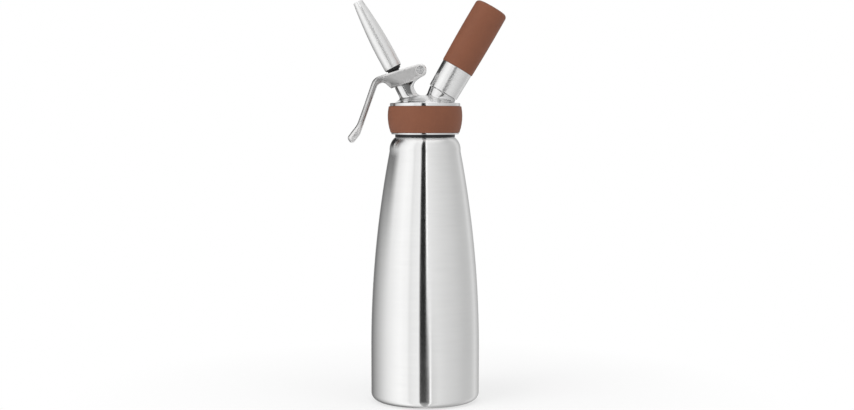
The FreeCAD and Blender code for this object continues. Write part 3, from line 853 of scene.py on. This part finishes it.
def tangent(first: Triple, second: Triple, hand: int) -> tuple[Point, Point]:
    """Ends of a line that touches two circles on opposite sides.

    Args:
        first: The first circle, (x, z, radius).
        second: The second circle.
        hand: Side of the line, 1 or -1.

    Returns:
        The touching points.
    """
    across = complex(second[0] - first[0], second[1] - first[1])
    turn = hand * math.acos((first[2] + second[2]) / abs(across))
    side = across / abs(across) * complex(math.cos(turn), math.sin(turn))
    ends = complex(*first[:2]) + side * first[2], complex(*second[:2]) - side * second[2]
    return tuple((end.real, end.imag) for end in ends)


@dataclass
class Head(Assembly):
    """Turned skirt with its band, and the casting with tower, lug and charger post."""

    body: str = "head"
    bore: float = 26.3
    skirt: float = 27.9
    skirt_bottom: float = 232.2
    lip: float = 1.5
    band_top: float = 256.55
    rim: float = 30.6
    rim_top: float = 259.35
    ledge: float = 27.0
    dome_side: float = 24.35
    dome_bottom: float = 256.5
    dome_radius: float = 24.6
    dome_base: float = 261.0
    dome_top: float = 265.7
    shell: float = 3.4
    cavity: float = 21.5
    gasket_top: float = 252.5
    seat: float = 0.05
    tower_low: Point = (7.5, -34.0)
    tower_high: Point = (7.1, -14.9)
    tower_edge: float = 1.0
    tower_fillet: float = 3.2
    post_low: Point = (10.5, -14.0)
    post_high: Point = (12.7, -0.4)
    post_edge: float = 0.7
    post_fillet: float = 2.6
    spigot: Point = (9.9, 17.5)
    spigot_wall: float = 1.3
    spigot_top: float = 18.0
    spigot_thread: Thread = Thread(10.8, 0.6, 17.0, 1.5, 0.6, 0.6)
    seat_boss: Point = (8.0, -38.0)
    gas_boss: Point = (4.6, -13.0)
    boss_fillet: float = 0.6
    valve_bores: tuple[Point, ...] = ((5.3, -30.0), (3.95, -39.0), (6.2, -14.9))
    post_bores: tuple[Point, ...] = ((4.65, 9.8), (1.2, -14.0))
    pin_bore: float = 2.55
    bore_rim: float = 0.25
    lug_half: float = 4.2
    lug_end: float = 4.9
    lug_foot: float = -30.0
    lug_edge: float = 2.3
    lug_fillet: float = 1.8
    recess_edge: float = 0.8
    hollow: Point = (-2.6, 273.0)
    hollow_radius: float = 7.4
    lug_rim: float = 2.4
    lug_web: float = 1.8
    low: Triple = (-26.0, -25.5, 250.5)
    high: Triple = (36.5, 25.5, 294.0)

    def skirt_ring(self) -> Piece:
        """Skirt, rim and ledge as one turned ring.

        Returns:
            The object.
        """
        lip, lip_top, step = self.skirt + self.lip, self.skirt_bottom + self.lip, self.cavity + 1
        marks = (
            (self.bore, self.skirt_bottom, 0.4), (lip, self.skirt_bottom, 0.5),
            (lip, lip_top, 0.4), (self.skirt, lip_top), (self.skirt, self.band_top),
            (self.rim, self.band_top, 0.25), (self.rim, self.rim_top, 0.55),
            (self.ledge, self.rim_top, 1.5), (self.dome_radius, self.dome_base),
            (step, self.dome_base - 0.1), (step, self.gasket_top + 4),
            (self.cavity, self.gasket_top + 4), (self.cavity, self.gasket_top),
            (self.bore, self.gasket_top),
        )
        return turned("head_skirt", marks, segments=160)

    def band(self) -> Piece:
        """Silicone band in the groove between lip and rim.

        Returns:
            The object.
        """
        low, high = self.skirt_bottom + self.lip + self.seat, self.band_top - self.seat
        inner = self.skirt + self.seat
        marks = (
            (inner, low), (29.5, low), ("via", 29.85, low + 0.15), (30.0, low + 0.5),
            ("via", 32.4, low + (high - low) * 0.62), (31.6, high - 0.5),
            ("via", 31.45, high - 0.15), (31.1, high), (inner, high),
        )
        return turned("silicone_band", marks, segments=160)

    def lug_outline(self, inset: float = 0.0) -> list[Point]:
        """Side of the lug between tower, pivot and hollow, or of its recesses.

        Args:
            inset: Width of the rim around the recesses, 0 for the lug itself.

        Returns:
            The outline.
        """
        (x, z), reach = self.hollow, self.hollow_radius + inset
        pivot = (FORK.x, FORK.z, self.lug_end - inset)
        foot, head = VALVE.row(0, self.lug_foot), VALVE.row(0, self.tower_high[1] - 0.5)
        rim = (*tangent(pivot, (x, z, reach), 1), ("via", x - reach, z), (x, z - reach))
        if inset:
            return outline(foot, head, *rim)
        crest = (tangent(pivot, (*head, 0), -1)[0], ("via", FORK.x + self.lug_end, FORK.z))
        return outline(foot, head, *crest, *rim, (x + 4, z - reach - 1), (x + 4, foot[1]))

    def form(self, x: Values, y: Values, z: Values) -> Values:
        """Distance to the casting.

        Args:
            x: Row X values.
            y: Row Y values.
            z: Row Z values.

        Returns:
            The distances, negative inside.
        """
        (across, up), (side, along) = VALVE.local(x, z), HOLDER.local(x, z)
        radial, valve, holder = (np.sqrt(a**2 + y**2) for a in (x, across, side))
        rise = self.dome_top - self.dome_base
        curve = (self.dome_radius**2 + rise**2) / (2 * rise)
        sphere = np.sqrt(radial**2 + (z - self.dome_top + curve) ** 2) - curve
        dome = common(sphere, radial - self.dome_side, self.dome_bottom - z)
        tower = cone(valve, up, self.tower_low, self.tower_high, self.tower_edge)
        post = cone(holder, along, self.post_low, self.post_high, self.post_edge)
        near_pivot = np.sqrt((x - FORK.x) ** 2 + (z - FORK.z) ** 2)
        recess = outline_distance(x, z, self.lug_outline(self.lug_rim))
        recess = common(recess, self.lug_end - near_pivot, self.lug_web - np.abs(y))
        lug = outline_distance(x, z, self.lug_outline())
        lug = trimmed(lug, np.abs(y) - self.lug_half, self.lug_edge)
        lug = carved(lug, recess, self.recess_edge)
        hollow = np.maximum(radial - self.cavity - 0.02, sphere + self.shell)
        solid = fused(fused(dome, tower, self.tower_fillet), post, self.post_fillet)
        solid = fused(np.maximum(solid, -hollow), lug, self.lug_fillet)
        boss = np.maximum(valve - self.seat_boss[0], self.seat_boss[1] - up)
        passage = np.maximum(holder - self.gas_boss[0], self.gas_boss[1] - along)
        inner = (sphere + self.shell / 2, radial - self.cavity)
        solid = fused(solid, common(np.minimum(boss, passage), *inner), self.boss_fillet)
        radius, top = self.spigot
        spigot = common(holder - radius, along - top, self.post_low[1] - along)
        solid = np.minimum(solid, spigot)
        bores = [np.maximum(valve - radius, start - up) for radius, start in self.valve_bores]
        bores += [np.maximum(holder - radius, start - along) for radius, start in self.post_bores]
        for bore in (*bores, near_pivot - self.pin_bore):
            solid = carved(solid, bore, self.bore_rim)
        return solid

    def painted_shade(self, x: Values, y: Values, z: Values) -> Values:
        """Share of painted shade: the recesses and the tower's left flank are darkened as if
        shaded.

        Args:
            x: Row X values.
            y: Row Y values.
            z: Row Z values.

        Returns:
            The shares.
        """
        across, up = VALVE.local(x, z)
        recess = grade(-outline_distance(x, z, self.lug_outline(self.lug_rim)), 0, 0.5)
        recess = 0.95 * recess * grade(across, 0.1, 0.5) * grade(np.abs(y), 1.0, 0.5)
        share = np.maximum(recess, 0.7 * grade(-across, 4.4, 0.7))
        return share * (up < self.tower_high[1] + 0.2) * grade(z, self.dome_top - 1.0, 3.0)

    def spigot_sleeve(self) -> Piece:
        """Threaded sleeve of the spigot.

        Returns:
            The object.
        """
        radius, low = self.spigot_thread.radius, self.post_high[1] - 0.4
        inner = radius - self.spigot_wall
        marks = (
            (inner, low), (radius, low), *self.spigot_thread.rows(10),
            (radius, self.spigot_top, 0.6), (inner, self.spigot_top, 0.3),
        )
        return turned("spigot_thread", marks, HOLDER, 96, self.spigot_thread)

    def pieces(self) -> list[tuple]:
        """Casting, skirt, spigot and band."""
        casting = Casting(self.form, self.painted_shade, self.low, self.high).make("head_casting", UPRIGHT)
        return [
            (casting, DOME_STEEL, "head"),
            (self.skirt_ring(), POLISHED_STEEL),
            (self.spigot_sleeve(), POLISHED_STEEL),
            (self.band(), BROWN_SILICONE, "head_band"),
        ]


@dataclass
class Nozzle(Assembly):
    """Slitted steel nozzle and the black plug that carries it."""

    body: str = "valve"
    length: float = 64.4
    foot: float = 7.7
    belly: float = 7.85
    belly_height: float = 15.0
    belly_bow: float = 0.28
    waist: float = 6.45
    waist_height: float = 43.0
    waist_bow: float = 0.12
    tip: float = 4.2
    wall: float = 0.9
    rounding: float = 0.12
    slits: int = 6
    slit_width: float = 1.1
    slit_length: float = 5.4
    columns: int = 18
    plug: tuple[Mark, ...] = (
        (3.22, -3.8), (4.0, -3.8, 0.3), (4.0, -3.0, 0.3), (5.9, -2.1, 0.3), (5.9, -0.8, 0.2),
        (7.1, -0.8, 0.25), (7.1, 0), (6.75, 0), (6.75, 9.5, 0.8), (3.22, 9.5),
    )

    def rows(self) -> list[Point]:
        """Side curve from the foot to the tip.

        Returns:
            Points (radius, height), one of them where the slits start.
        """
        waist, tip = (self.waist, self.waist_height), (self.tip, self.length)
        low = ((self.belly + waist[0]) / 2 + self.belly_bow, (self.belly_height + waist[1]) / 2)
        high = ((waist[0] + tip[0]) / 2 + self.waist_bow, (waist[1] + tip[1]) / 2)
        rows = [(self.foot - 0.3, 0.0), (self.foot - 0.09, 0.09), (self.foot, 0.3)]
        widening = (self.belly - self.foot, self.belly_height)
        rows += [(self.foot + widening[0] * i / 4, widening[1] * i / 4) for i in range(1, 5)]
        rows += arc_points(rows[-1], low, waist, 6, 2.0) + arc_points(waist, high, tip, 6, 1.2)
        start = self.length - self.slit_length
        rows = [row for row in rows if abs(row[1] - start) > 0.2]
        at_slit = float(np.interp(start, [row[1] for row in rows], [row[0] for row in rows]))
        return sorted([*rows, (at_slit, start)], key=lambda row: row[1])

    def shell(self) -> Piece:
        """Thin shell with slits at its tip.

        Returns:
            The object.
        """
        rows = self.rows()
        start = self.length - self.slit_length - TINY
        slit_radius = next(radius for radius, height in rows if height >= start)
        sector, ring = FULL_TURN / self.slits, self.slits * self.columns
        vertices: list[Triple] = []
        for radius, height in rows:
            half = math.asin(self.slit_width / 2 / min(radius, slit_radius))
            spread = np.linspace(half, sector - half, self.columns)
            turns = np.concatenate([sector * (i + 0.5) + spread for i in range(self.slits)])
            vertices += zip(radius * np.cos(turns), radius * np.sin(turns), [height] * ring)
        faces = [
            face for face in tube_faces(len(rows), ring)
            if rows[face[0] // ring][1] < start or face[0] % self.columns < self.columns - 1
        ]
        made = make_object("nozzle_shell", np.array(vertices), faces, VALVE.matrix())
        solid = made.modifiers.new("wall", "SOLIDIFY")
        solid.thickness, solid.offset = self.wall * MM, -1
        bevel = made.modifiers.new("edges", "BEVEL")
        bevel.width, bevel.segments = self.rounding * MM, 2
        bevel.limit_method, bevel.angle_limit = "ANGLE", radians(50)
        return made

    def pieces(self) -> list[tuple]:
        """Nozzle and plug."""
        shell, plug = self.shell(), turned("nozzle_plug", self.plug, VALVE, 96)
        return [(shell, NOZZLE_STEEL, "nozzle"), (plug, BLACK_PLASTIC, "nozzle_adapter")]


@dataclass
class Lever(Assembly):
    """Cast fork with its finger strap, and the pivot pin."""

    body: str = "lever"
    crown: float = 6.3
    crown_start: float = 22.0
    length: float = 33.8
    heel: float = 29.7
    heel_depth: float = 7.6
    belly: Point = (-8.0, -7.2)
    front: float = 1.2
    end_radius: float = 5.5
    half_width: float = 10.0
    cheek: float = 2.0
    web_low: float = 2.85
    web_high: float = 4.75
    web_start: float = -9.5
    web_end: float = -32.1
    web_fillet: float = 0.8
    cap_start: float = -28.9
    edge: float = 2.6
    heel_bevel: float = 2.6
    root_fillet: float = 1.8
    strap_shoulder: float = 40.65
    strap_angle: float = 52.0
    strap_run: float = 42.5
    strap_thickness: float = 4.7
    strap_outer: float = 1.8
    strap_inner: float = 2.2
    root_thickness: float = 5.8
    tab_angle: float = 33.8
    tab_length: float = 14.2
    tab_thickness: float = 6.8
    tab_slant: float = 4.0
    half_waist: float = 7.4
    half_tab: float = 10.2
    slot_middle: float = -20.27
    slot_reach: float = 1.65
    slot_radius: float = 3.75
    slot_floor: float = 0.8
    slot_edge: float = 0.6
    pad_height: float = -6.62
    pad_radius: float = 1.6
    pad_start: float = 4.1
    pin: float = 2.5
    pin_head: float = 3.3
    sink: float = 0.8
    low: Triple = (-83.0, -11.5, -47.0)
    high: Triple = (7.0, 11.5, 8.0)

    def cheek_outline(self) -> list[Point]:
        """Side of the fork, -X running from the pivot to the strap.

        Returns:
            The outline.
        """
        return outline(
            (0, self.end_radius), (-self.crown_start, self.crown, 28.0),
            (-self.length, self.crown), (-self.length + 0.2, -0.9),
            (-self.heel, -self.heel_depth, 1.6), (*self.belly, 14.0),
            (self.front, -math.sqrt(self.end_radius**2 - self.front**2)),
            ("via", self.end_radius, 0),
        )

    def strap_side(self) -> list[Point]:
        """Side of the strap: shoulder, straight run and thick rounded tab.

        Returns:
            The outline.
        """
        turns = [radians(angle) for angle in (self.strap_angle, self.tab_angle)]
        run, tab = (np.array((-math.cos(turn), -math.sin(turn))) for turn in turns)
        shoulder = np.array((-self.strap_shoulder, self.crown))
        tab_start = shoulder + run * self.strap_run
        tab_end = tab_start + tab * self.tab_length
        heel = tab_end + np.array((-tab[1], tab[0])) * self.tab_thickness + tab * self.tab_slant
        inner = shoulder + np.array((-run[1], run[0])) * self.strap_thickness
        low = self.crown - self.root_thickness
        inner_shoulder = inner + run * (low - inner[1]) / run[1]
        reach = np.linalg.solve(np.stack([run, -tab], axis=1), heel - inner)[0]
        return outline(
            (-self.length + 2, self.crown), (*shoulder, 9.5), (*tab_start, 18.0),
            (*tab_end, 3.4), (*heel, 2.2), (*(inner + run * reach), 9.0),
            (*inner_shoulder, 5.0), (-self.length + 2, low),
        )

    def strap_front(self) -> list[Point]:
        """Front of the strap.

        Returns:
            Points (across, distance down the strap).
        """
        tip = self.strap_run + self.tab_length + self.tab_slant
        half = (
            (self.half_width, -self.strap_shoulder), (self.half_width, 8.5, 20.0),
            (self.half_waist, 25.5, 20.0), (self.half_tab, self.strap_run + 4.3, 12.0),
            (self.half_tab, tip, 9.2),
        )
        return outline(*half, *((-across, *rest) for across, *rest in reversed(half)))

    def down_strap(self, x: Values, z: Values) -> tuple[Values, Values]:
        """Distances down the strap from its shoulder, and in from its outer side."""
        return Lean(-self.strap_shoulder, self.crown, 180 - self.strap_angle).local(x, z)

    def form(self, x: Values, y: Values, z: Values) -> Values:
        """Distance to the lever.

        Args:
            x: X values in the fork's own frame.
            y: Y values.
            z: Z values.

        Returns:
            The distances, negative inside.
        """
        wide, inner = np.abs(y), self.half_width - self.cheek
        bevel = self.edge + self.heel_bevel * grade(-x, self.crown_start, 5) * grade(-z, -3.5, 4)
        cheeks = outline_distance(x, z, self.cheek_outline())
        cheeks = trimmed(trimmed(cheeks, wide - self.half_width, bevel), inner - wide, 0.5)
        plate = common(wide - inner - 0.5, self.web_end - x, self.web_low - z)
        web = common(plate, x - self.web_start, z - self.web_high)
        cap = common(plate, x - self.cap_start, z - self.crown)
        fork = np.minimum(fused(cheeks, web, self.web_fillet), cap)
        along, inward = self.down_strap(x, z)
        softer = self.strap_outer - self.strap_inner * grade(inward, 1.4, 1.6)
        front = outline_distance(y, along, self.strap_front())
        strap = outline_distance(x, z, self.strap_side())
        strap = trimmed(strap, front, self.edge + softer * grade(-x, 33, 6))
        solid = fused(fork, strap, 0.02 + self.root_fillet * grade(-z, 1.5 - self.crown, 3))
        beside = np.maximum(np.abs(x - self.slot_middle) - self.slot_reach, 0)
        slot = np.maximum(np.sqrt(beside**2 + y**2) - self.slot_radius, self.slot_floor - z)
        pad_x, pad_z = FORK.local(*VALVE.row(0, self.pad_height))
        pads = np.sqrt((x - pad_x) ** 2 + (z - pad_z) ** 2) - self.pad_radius
        pads = common(pads, self.pad_start - wide, wide - inner - 0.3)
        solid = fused(carved(solid, slot, self.slot_edge), pads, 0.3)
        bore = np.sqrt(x**2 + z**2)
        sink = np.maximum(bore - self.pin_head - 0.1, self.half_width - self.sink - wide)
        return carved(carved(solid, bore - self.pin - 0.02, 0.2), sink, 0.3)

    def painted_shade(self, x: Values, y: Values, z: Values) -> Values:
        """Share of painted shade: the strap's inner side is darkened as if shaded.

        Args:
            x: X values in the fork's own frame.
            y: Y values.
            z: Z values.

        Returns:
            The shares.
        """
        along, inward = self.down_strap(x, z)
        share = 0.55 * grade(inward, 1.7, 1.4) * grade(along, -6, 5)
        return share * grade(-along, -self.strap_run - 3, 8)

    def pivot_pin(self) -> Piece:
        """Pivot pin with a ringed head at each end.

        Returns:
            The object.
        """
        end, low = self.half_width - 0.1, self.half_width - 0.78
        half = (
            (self.pin, low), (self.pin_head, low, 0.1), (self.pin_head, end, 0.25),
            (2.05, end, 0.15), (1.9, end - 0.4, 0.1), (1.0, end - 0.4, 0.1),
            (0.86, end, 0.2), (0, end),
        )
        mirrored = ((radius, -height, *rest) for radius, height, *rest in reversed(half))
        made = turned("pivot_pin", (*mirrored, *half), segments=72)
        made.matrix_world = Lean(FORK.x, FORK.z, 0).matrix() @ Matrix.Rotation(radians(90), 4, "X")
        return made

    def pieces(self) -> list[tuple]:
        """Lever and pin."""
        lever = Casting(self.form, self.painted_shade, self.low, self.high).make("lever_casting", FORK)
        return [(lever, CAST_STEEL, "lever"), (self.pivot_pin(), PIN_STEEL, "lever_pivot_pin")]


@dataclass
class ChargerHolder(Assembly):
    """Steel sleeve with a threaded mouth, and its silicone grip."""

    body: str = "holder"
    mouth: float = 13.5
    top: float = 14.0
    sleeve: float = 24.4
    height: float = 84.6
    thread_radius: float = 11.05
    thread_height: float = 20.5
    bore: float = 9.6
    under_grip: float = 13.2
    crown: float = 3.2
    end_wall: float = 3.5
    grip: float = 14.5
    belly: float = 15.0
    seat: float = 0.05

    def steel(self) -> Piece:
        """The steel cup.

        Returns:
            The object.
        """
        top, thread = self.height - self.crown, self.thread_radius
        marks = (
            (thread, 0, 0.4), (self.mouth, 0, 0.45), (self.top, self.sleeve, 0.3),
            (self.under_grip, self.sleeve), (self.under_grip, top, 2.4), (0, top),
            (0, top - self.end_wall), (self.bore, top - self.end_wall, 2.0),
            (self.bore, self.thread_height), (thread, self.thread_height),
        )
        return turned("holder_sleeve", marks, HOLDER, 144)

    def silicone(self) -> Piece:
        """Slightly barrelled grip with a rounded end.

        Returns:
            The object.
        """
        inner, low = self.under_grip + self.seat, self.sleeve + self.seat
        inner_top = self.height - self.crown + self.seat
        marks = (
            (inner, low), (self.grip, low, 0.4), (14.8, 38.4), ("via", self.belly, 57.3),
            (14.85, self.height - 3.9), ("via", self.belly - 1.17, self.height - 1.17),
            (self.belly - 3.9, self.height - 0.25), ("via", 5.5, self.height - 0.062),
            (0, self.height), (0, inner_top), (inner, inner_top, 2.4),
        )
        return turned("silicone_grip", marks, HOLDER, 144)

    def pieces(self) -> list[tuple]:
        """Sleeve and grip."""
        steel, grip = self.steel(), self.silicone()
        return [(steel, SATIN_TUBE, "charger_holder"), (grip, BROWN_SILICONE, "holder_grip")]


@dataclass
class ReturnSpring:
    """Coil under the collar, built at rest."""

    low: float = -24.4
    high: float = -10.85
    coil: float = 4.35
    wire: float = 0.55
    turns: float = 5.5
    travel: float = 4.245
    steps: int = 40
    sides: int = 14

    def build(self, wardrobe: Wardrobe) -> None:
        """Builds, dresses and ties the spring.

        Args:
            wardrobe: The finishes.
        """
        count = round(self.turns * self.steps)
        angles = np.arange(self.sides) * FULL_TURN / self.sides
        vertices = []
        for share in np.arange(count + 1) / count:
            turn = FULL_TURN * self.turns * share
            middle = self.low + (self.high - self.low) * share
            radii = self.coil + self.wire * np.cos(angles)
            x, z = VALVE.row(radii * math.cos(turn), middle + self.wire * np.sin(angles))
            vertices += zip(x, radii * math.sin(turn), z)
        faces = [list(range(self.sides)), list(range(count * self.sides, len(vertices)))]
        faces += tube_faces(count + 1, self.sides)
        coil = make_object("return_spring", np.array(vertices), faces, Matrix())
        wardrobe.fit(coil, INNER_STEEL, "head", "valve_spring")
        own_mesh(coil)


@dataclass
class InnerParts:
    """Carried-over parts of valve and gas side, which keep their shape."""

    worn: tuple[tuple[Finish, str], ...] = (
        (SEAL_RUBBER, "head_gasket valve_seal stem_o_ring charger_gasket gas_flap"),
        (INNER_STEEL, "valve_stem push_collar collar_clip piercing_pin"),
        (CHARGER_STEEL, "charger charger_cap"),
        (BUSH_PLASTIC, "stem_bush"),
    )

    def build(self, wardrobe: Wardrobe) -> None:
        """Dresses the carried-over parts.

        Args:
            wardrobe: The finishes.
        """
        for finish, nodes in self.worn:
            for node in nodes.split():
                wardrobe.dress(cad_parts[node], finish)
                LOG.info("%s keeps its shape and wears %s", node, finish.name)


# Studio


@dataclass
class Studio:
    """Pale floor, white surround, soft lamps and the camera.

    The bands are pairs of azimuth and brightness, with the front at 0 and the left positive.
    """

    camera_place: Triple = (0.0017, -1.18, 0.245)
    camera_dip: float = 3.6
    lens: float = 57.2
    sensor: float = 36.0
    lamps: tuple[tuple, ...] = (
        ("left_box", (-1.1, -1.0, 0.9), (1.0, 1.4), 10.8),
        ("right_box", (1.3, -0.9, 0.7), (0.9, 1.3), 4.2),
    )
    lamp_target: Triple = (0, 0, 0.2)
    floor_half: float = 3.0
    floor_drop: float = 0.0002
    floor_fade: tuple[float, float, float, float] = (0.08, 0.32, 0.62, 1.0)
    bands: tuple[Point, ...] = (
        (-180, 1.0), (-170, 1.0), (-163, 0.42), (-150, 0.55), (-132, 0.75), (-115, 0.6),
        (-100, 0.58), (-88, 0.6), (-66, 0.68), (-46, 0.74), (-28, 0.81), (-15, 0.87),
        (-7, 0.92), (-4, 1.0), (12, 1.0), (19, 0.95), (27, 0.92), (33, 0.86), (39, 1.02),
        (56, 1.08), (68, 1.02), (85, 0.9), (97, 0.78), (111, 0.62), (127, 0.44), (150, 0.21),
        (160, 0.21), (169, 1.0), (180, 1.0),
    )
    shade: tuple[float, float, float, float] = (100, 168, 0.12, 0.72)
    shade_level: float = 0.1
    shade_soft: float = 0.08
    shade_turn: float = 12
    strip_left: float = 11.8
    strip_right: float = -2.7
    strip_foot: float = -9.6
    strip_bend: Point = (-0.2, 0.0)
    strip_low: Point = (-0.6, -0.25)
    strip_top: Point = (0.88, 0.96)
    strip_soft: float = 0.8
    strip_fade: float = 0.76
    strip_level: float = 0.012
    gleam: float = 1.42
    gleam_edge: Point = (-4.2, -2.4)
    dip: float = 0.22
    dip_right: Point = (-20, -6)
    dip_left: Point = (-4.6, -3.4)
    dip_low: Point = (-0.18, -0.08)
    roof: Point = (0.7, 0.9)
    above: float = 1.05
    peak: float = 1.3

    def camera(self) -> None:
        """Places the camera."""
        data = bpy.data.cameras.new("camera")
        data.lens, data.sensor_width = self.lens, self.sensor
        made = bpy.context.scene.camera = linked(data)
        made.location = self.camera_place
        made.rotation_euler = (radians(90 - self.camera_dip), 0, 0)

    def lamp(self, name: str, place: Triple, size: Point, power: float) -> None:
        """Adds a soft box that looks at the head of the object.

        Args:
            name: Name of the lamp.
            place: Where it hangs.
            size: Its width and height.
            power: Its power, watts.
        """
        data = bpy.data.lights.new(name, "AREA")
        data.shape, data.energy = "RECTANGLE", power
        data.size, data.size_y = size
        made = linked(data)
        made.location = place
        aim = Vector(self.lamp_target) - Vector(place)
        made.rotation_euler = aim.to_track_quat("-Z", "Y").to_euler()
        made.visible_glossy = False

    def grey(self, level: float) -> Triple:
        """Grey of the surround, as a share of its peak."""
        return (level / self.peak,) * 3

    def banded(self, wiring: Wiring) -> Socket:
        """Soft boxes round the object and the dark gap between them, as its metal mirrors them.

        Args:
            wiring: The world's nodes.

        Returns:
            The colour's socket, as a share of the peak.
        """
        direction = wiring.add("TexCoord").outputs["Generated"]
        *flat, up = wiring.add("SeparateXYZ", {0: direction}).outputs
        left, front = (wiring.combine("MULTIPLY", part, -1.0) for part in flat)
        angle = wiring.combine("ARCTAN2", left, front)
        boxes = wiring.add("ValToRGB", {0: wiring.ramp(angle, -math.pi, math.pi)})
        stops = boxes.color_ramp.elements
        stops.remove(stops[-1])
        for number, (azimuth, level) in enumerate(self.bands):
            stop = stops.new((azimuth + 180) / 360) if number else stops[0]
            stop.color = (*self.grey(level), 1)
        foot, right = radians(self.strip_foot), radians(self.strip_right)
        leaning = wiring.ramp(up, *self.strip_bend, foot, right)
        from_right = wiring.combine("SUBTRACT", angle, leaning)
        soft, edge = radians(self.strip_soft), radians(self.strip_left)
        before = wiring.ramp(angle, edge - soft, edge + soft, 1.0, 0.0)
        strip = wiring.times(
            wiring.ramp(from_right, -soft, soft),
            before,
            wiring.ramp(up, *self.strip_top, 1.0, 0.0),
            wiring.ramp(up, *self.strip_low, self.strip_fade, 1.0),
        )
        beside = wiring.times(wiring.ramp(from_right, *map(radians, self.gleam_edge)), before)
        dip = wiring.times(
            wiring.ramp(from_right, *map(radians, self.dip_left), 1.0, 0.0),
            wiring.ramp(from_right, *map(radians, self.dip_right)),
            wiring.ramp(up, *self.dip_low, self.dip, 0.0),
        )
        gleam = wiring.combine("SUBTRACT", wiring.ramp(beside, 0.0, 1.0, 1.0, self.gleam), dip)
        (near, far, low, high), soft = self.shade, self.shade_soft
        shade = wiring.times(
            wiring.ramp(angle, radians(near - self.shade_turn), radians(near + self.shade_turn)),
            wiring.ramp(angle, radians(far) - soft, radians(far) + soft, 1.0, 0.0),
            wiring.ramp(up, low - soft, low + soft),
            wiring.ramp(up, high - soft, high + soft, 1.0, 0.0),
        )
        dimmed = wiring.times(wiring.ramp(shade, 0.0, 1.0, 1.0, self.shade_level), gleam)
        around = wiring.add("VectorMath", {0: boxes.outputs[0], 3: dimmed}, operation="SCALE")
        roof = wiring.ramp(up, *self.roof)
        roofed = wiring.mix(roof, around.outputs[0], self.grey(self.above))
        return wiring.mix(strip, roofed, self.grey(self.strip_level))

    def surround(self) -> None:
        """White to the eye, banded to all other rays."""
        world = bpy.context.scene.world = bpy.data.worlds.new("surround")
        wiring = Wiring(world)
        lit = wiring.add("Background", {"Color": self.banded(wiring), "Strength": self.peak})
        white = wiring.add("Background", {"Color": (1, 1, 1, 1), "Strength": 1.0})
        seen = wiring.seen_by("Is Camera Ray", "Is Transmission Ray")
        mixed = wiring.add("MixShader", {0: seen, 1: lit.outputs[0], 2: white.outputs[0]})
        wiring.add("OutputWorld", {"Surface": mixed.outputs[0]})

    def floor(self) -> None:
        """Pale floor that fades to white away from the object."""
        mesh = bpy.data.meshes.new("floor")
        corners = ((-1, -1), (1, -1), (1, 1), (-1, 1))
        corners = [(x * self.floor_half, y * self.floor_half, 0) for x, y in corners]
        mesh.from_pydata(corners, [], [(0, 1, 2, 3)])
        made = linked(mesh)
        made.location = (0, 0, -self.floor_drop)
        mesh.materials.append(bpy.data.materials.new("floor"))
        wiring = Wiring(mesh.materials[0])
        place = wiring.add("TexCoord").outputs["Object"]
        away = wiring.add("VectorMath", {0: place}, operation="LENGTH").outputs["Value"]
        paint = wiring.add("BsdfDiffuse", {"Color": (0.9, 0.9, 0.9, 1)})
        glow = wiring.add("Emission", {"Color": (1, 1, 1, 1), "Strength": 1.0})
        seen = wiring.seen_by("Is Camera Ray", "Is Glossy Ray")
        share = wiring.times(wiring.ramp(away, *self.floor_fade), seen)
        mixed = wiring.add("MixShader", {0: share, 1: paint.outputs[0], 2: glow.outputs[0]})
        wiring.add("OutputMaterial", {"Surface": mixed.outputs[0]})
        made.visible_glossy = False

    def build(self) -> None:
        """Sets up the studio."""
        bpy.context.scene.view_settings.view_transform = "Standard"
        self.camera()
        self.surround()
        self.floor()
        for lamp in self.lamps:
            self.lamp(*lamp)
        LOG.info("studio is set")


def corners(box: tuple) -> list[list[float]]:
    """Box corners as plain lists."""
    return [[float(value) for value in corner] for corner in box]


def main() -> None:
    """Builds the dispenser in order."""
    logging.basicConfig(level=logging.INFO, format="%(name)s: %(message)s")
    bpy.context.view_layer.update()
    Studio().build()
    wardrobe = Wardrobe()
    parts = (Bottle(), Head(), Nozzle(), Lever(), ChargerHolder(), ReturnSpring(), InnerParts())
    for part in parts:
        part.build(wardrobe)


if __name__ == "__main__":
    main()
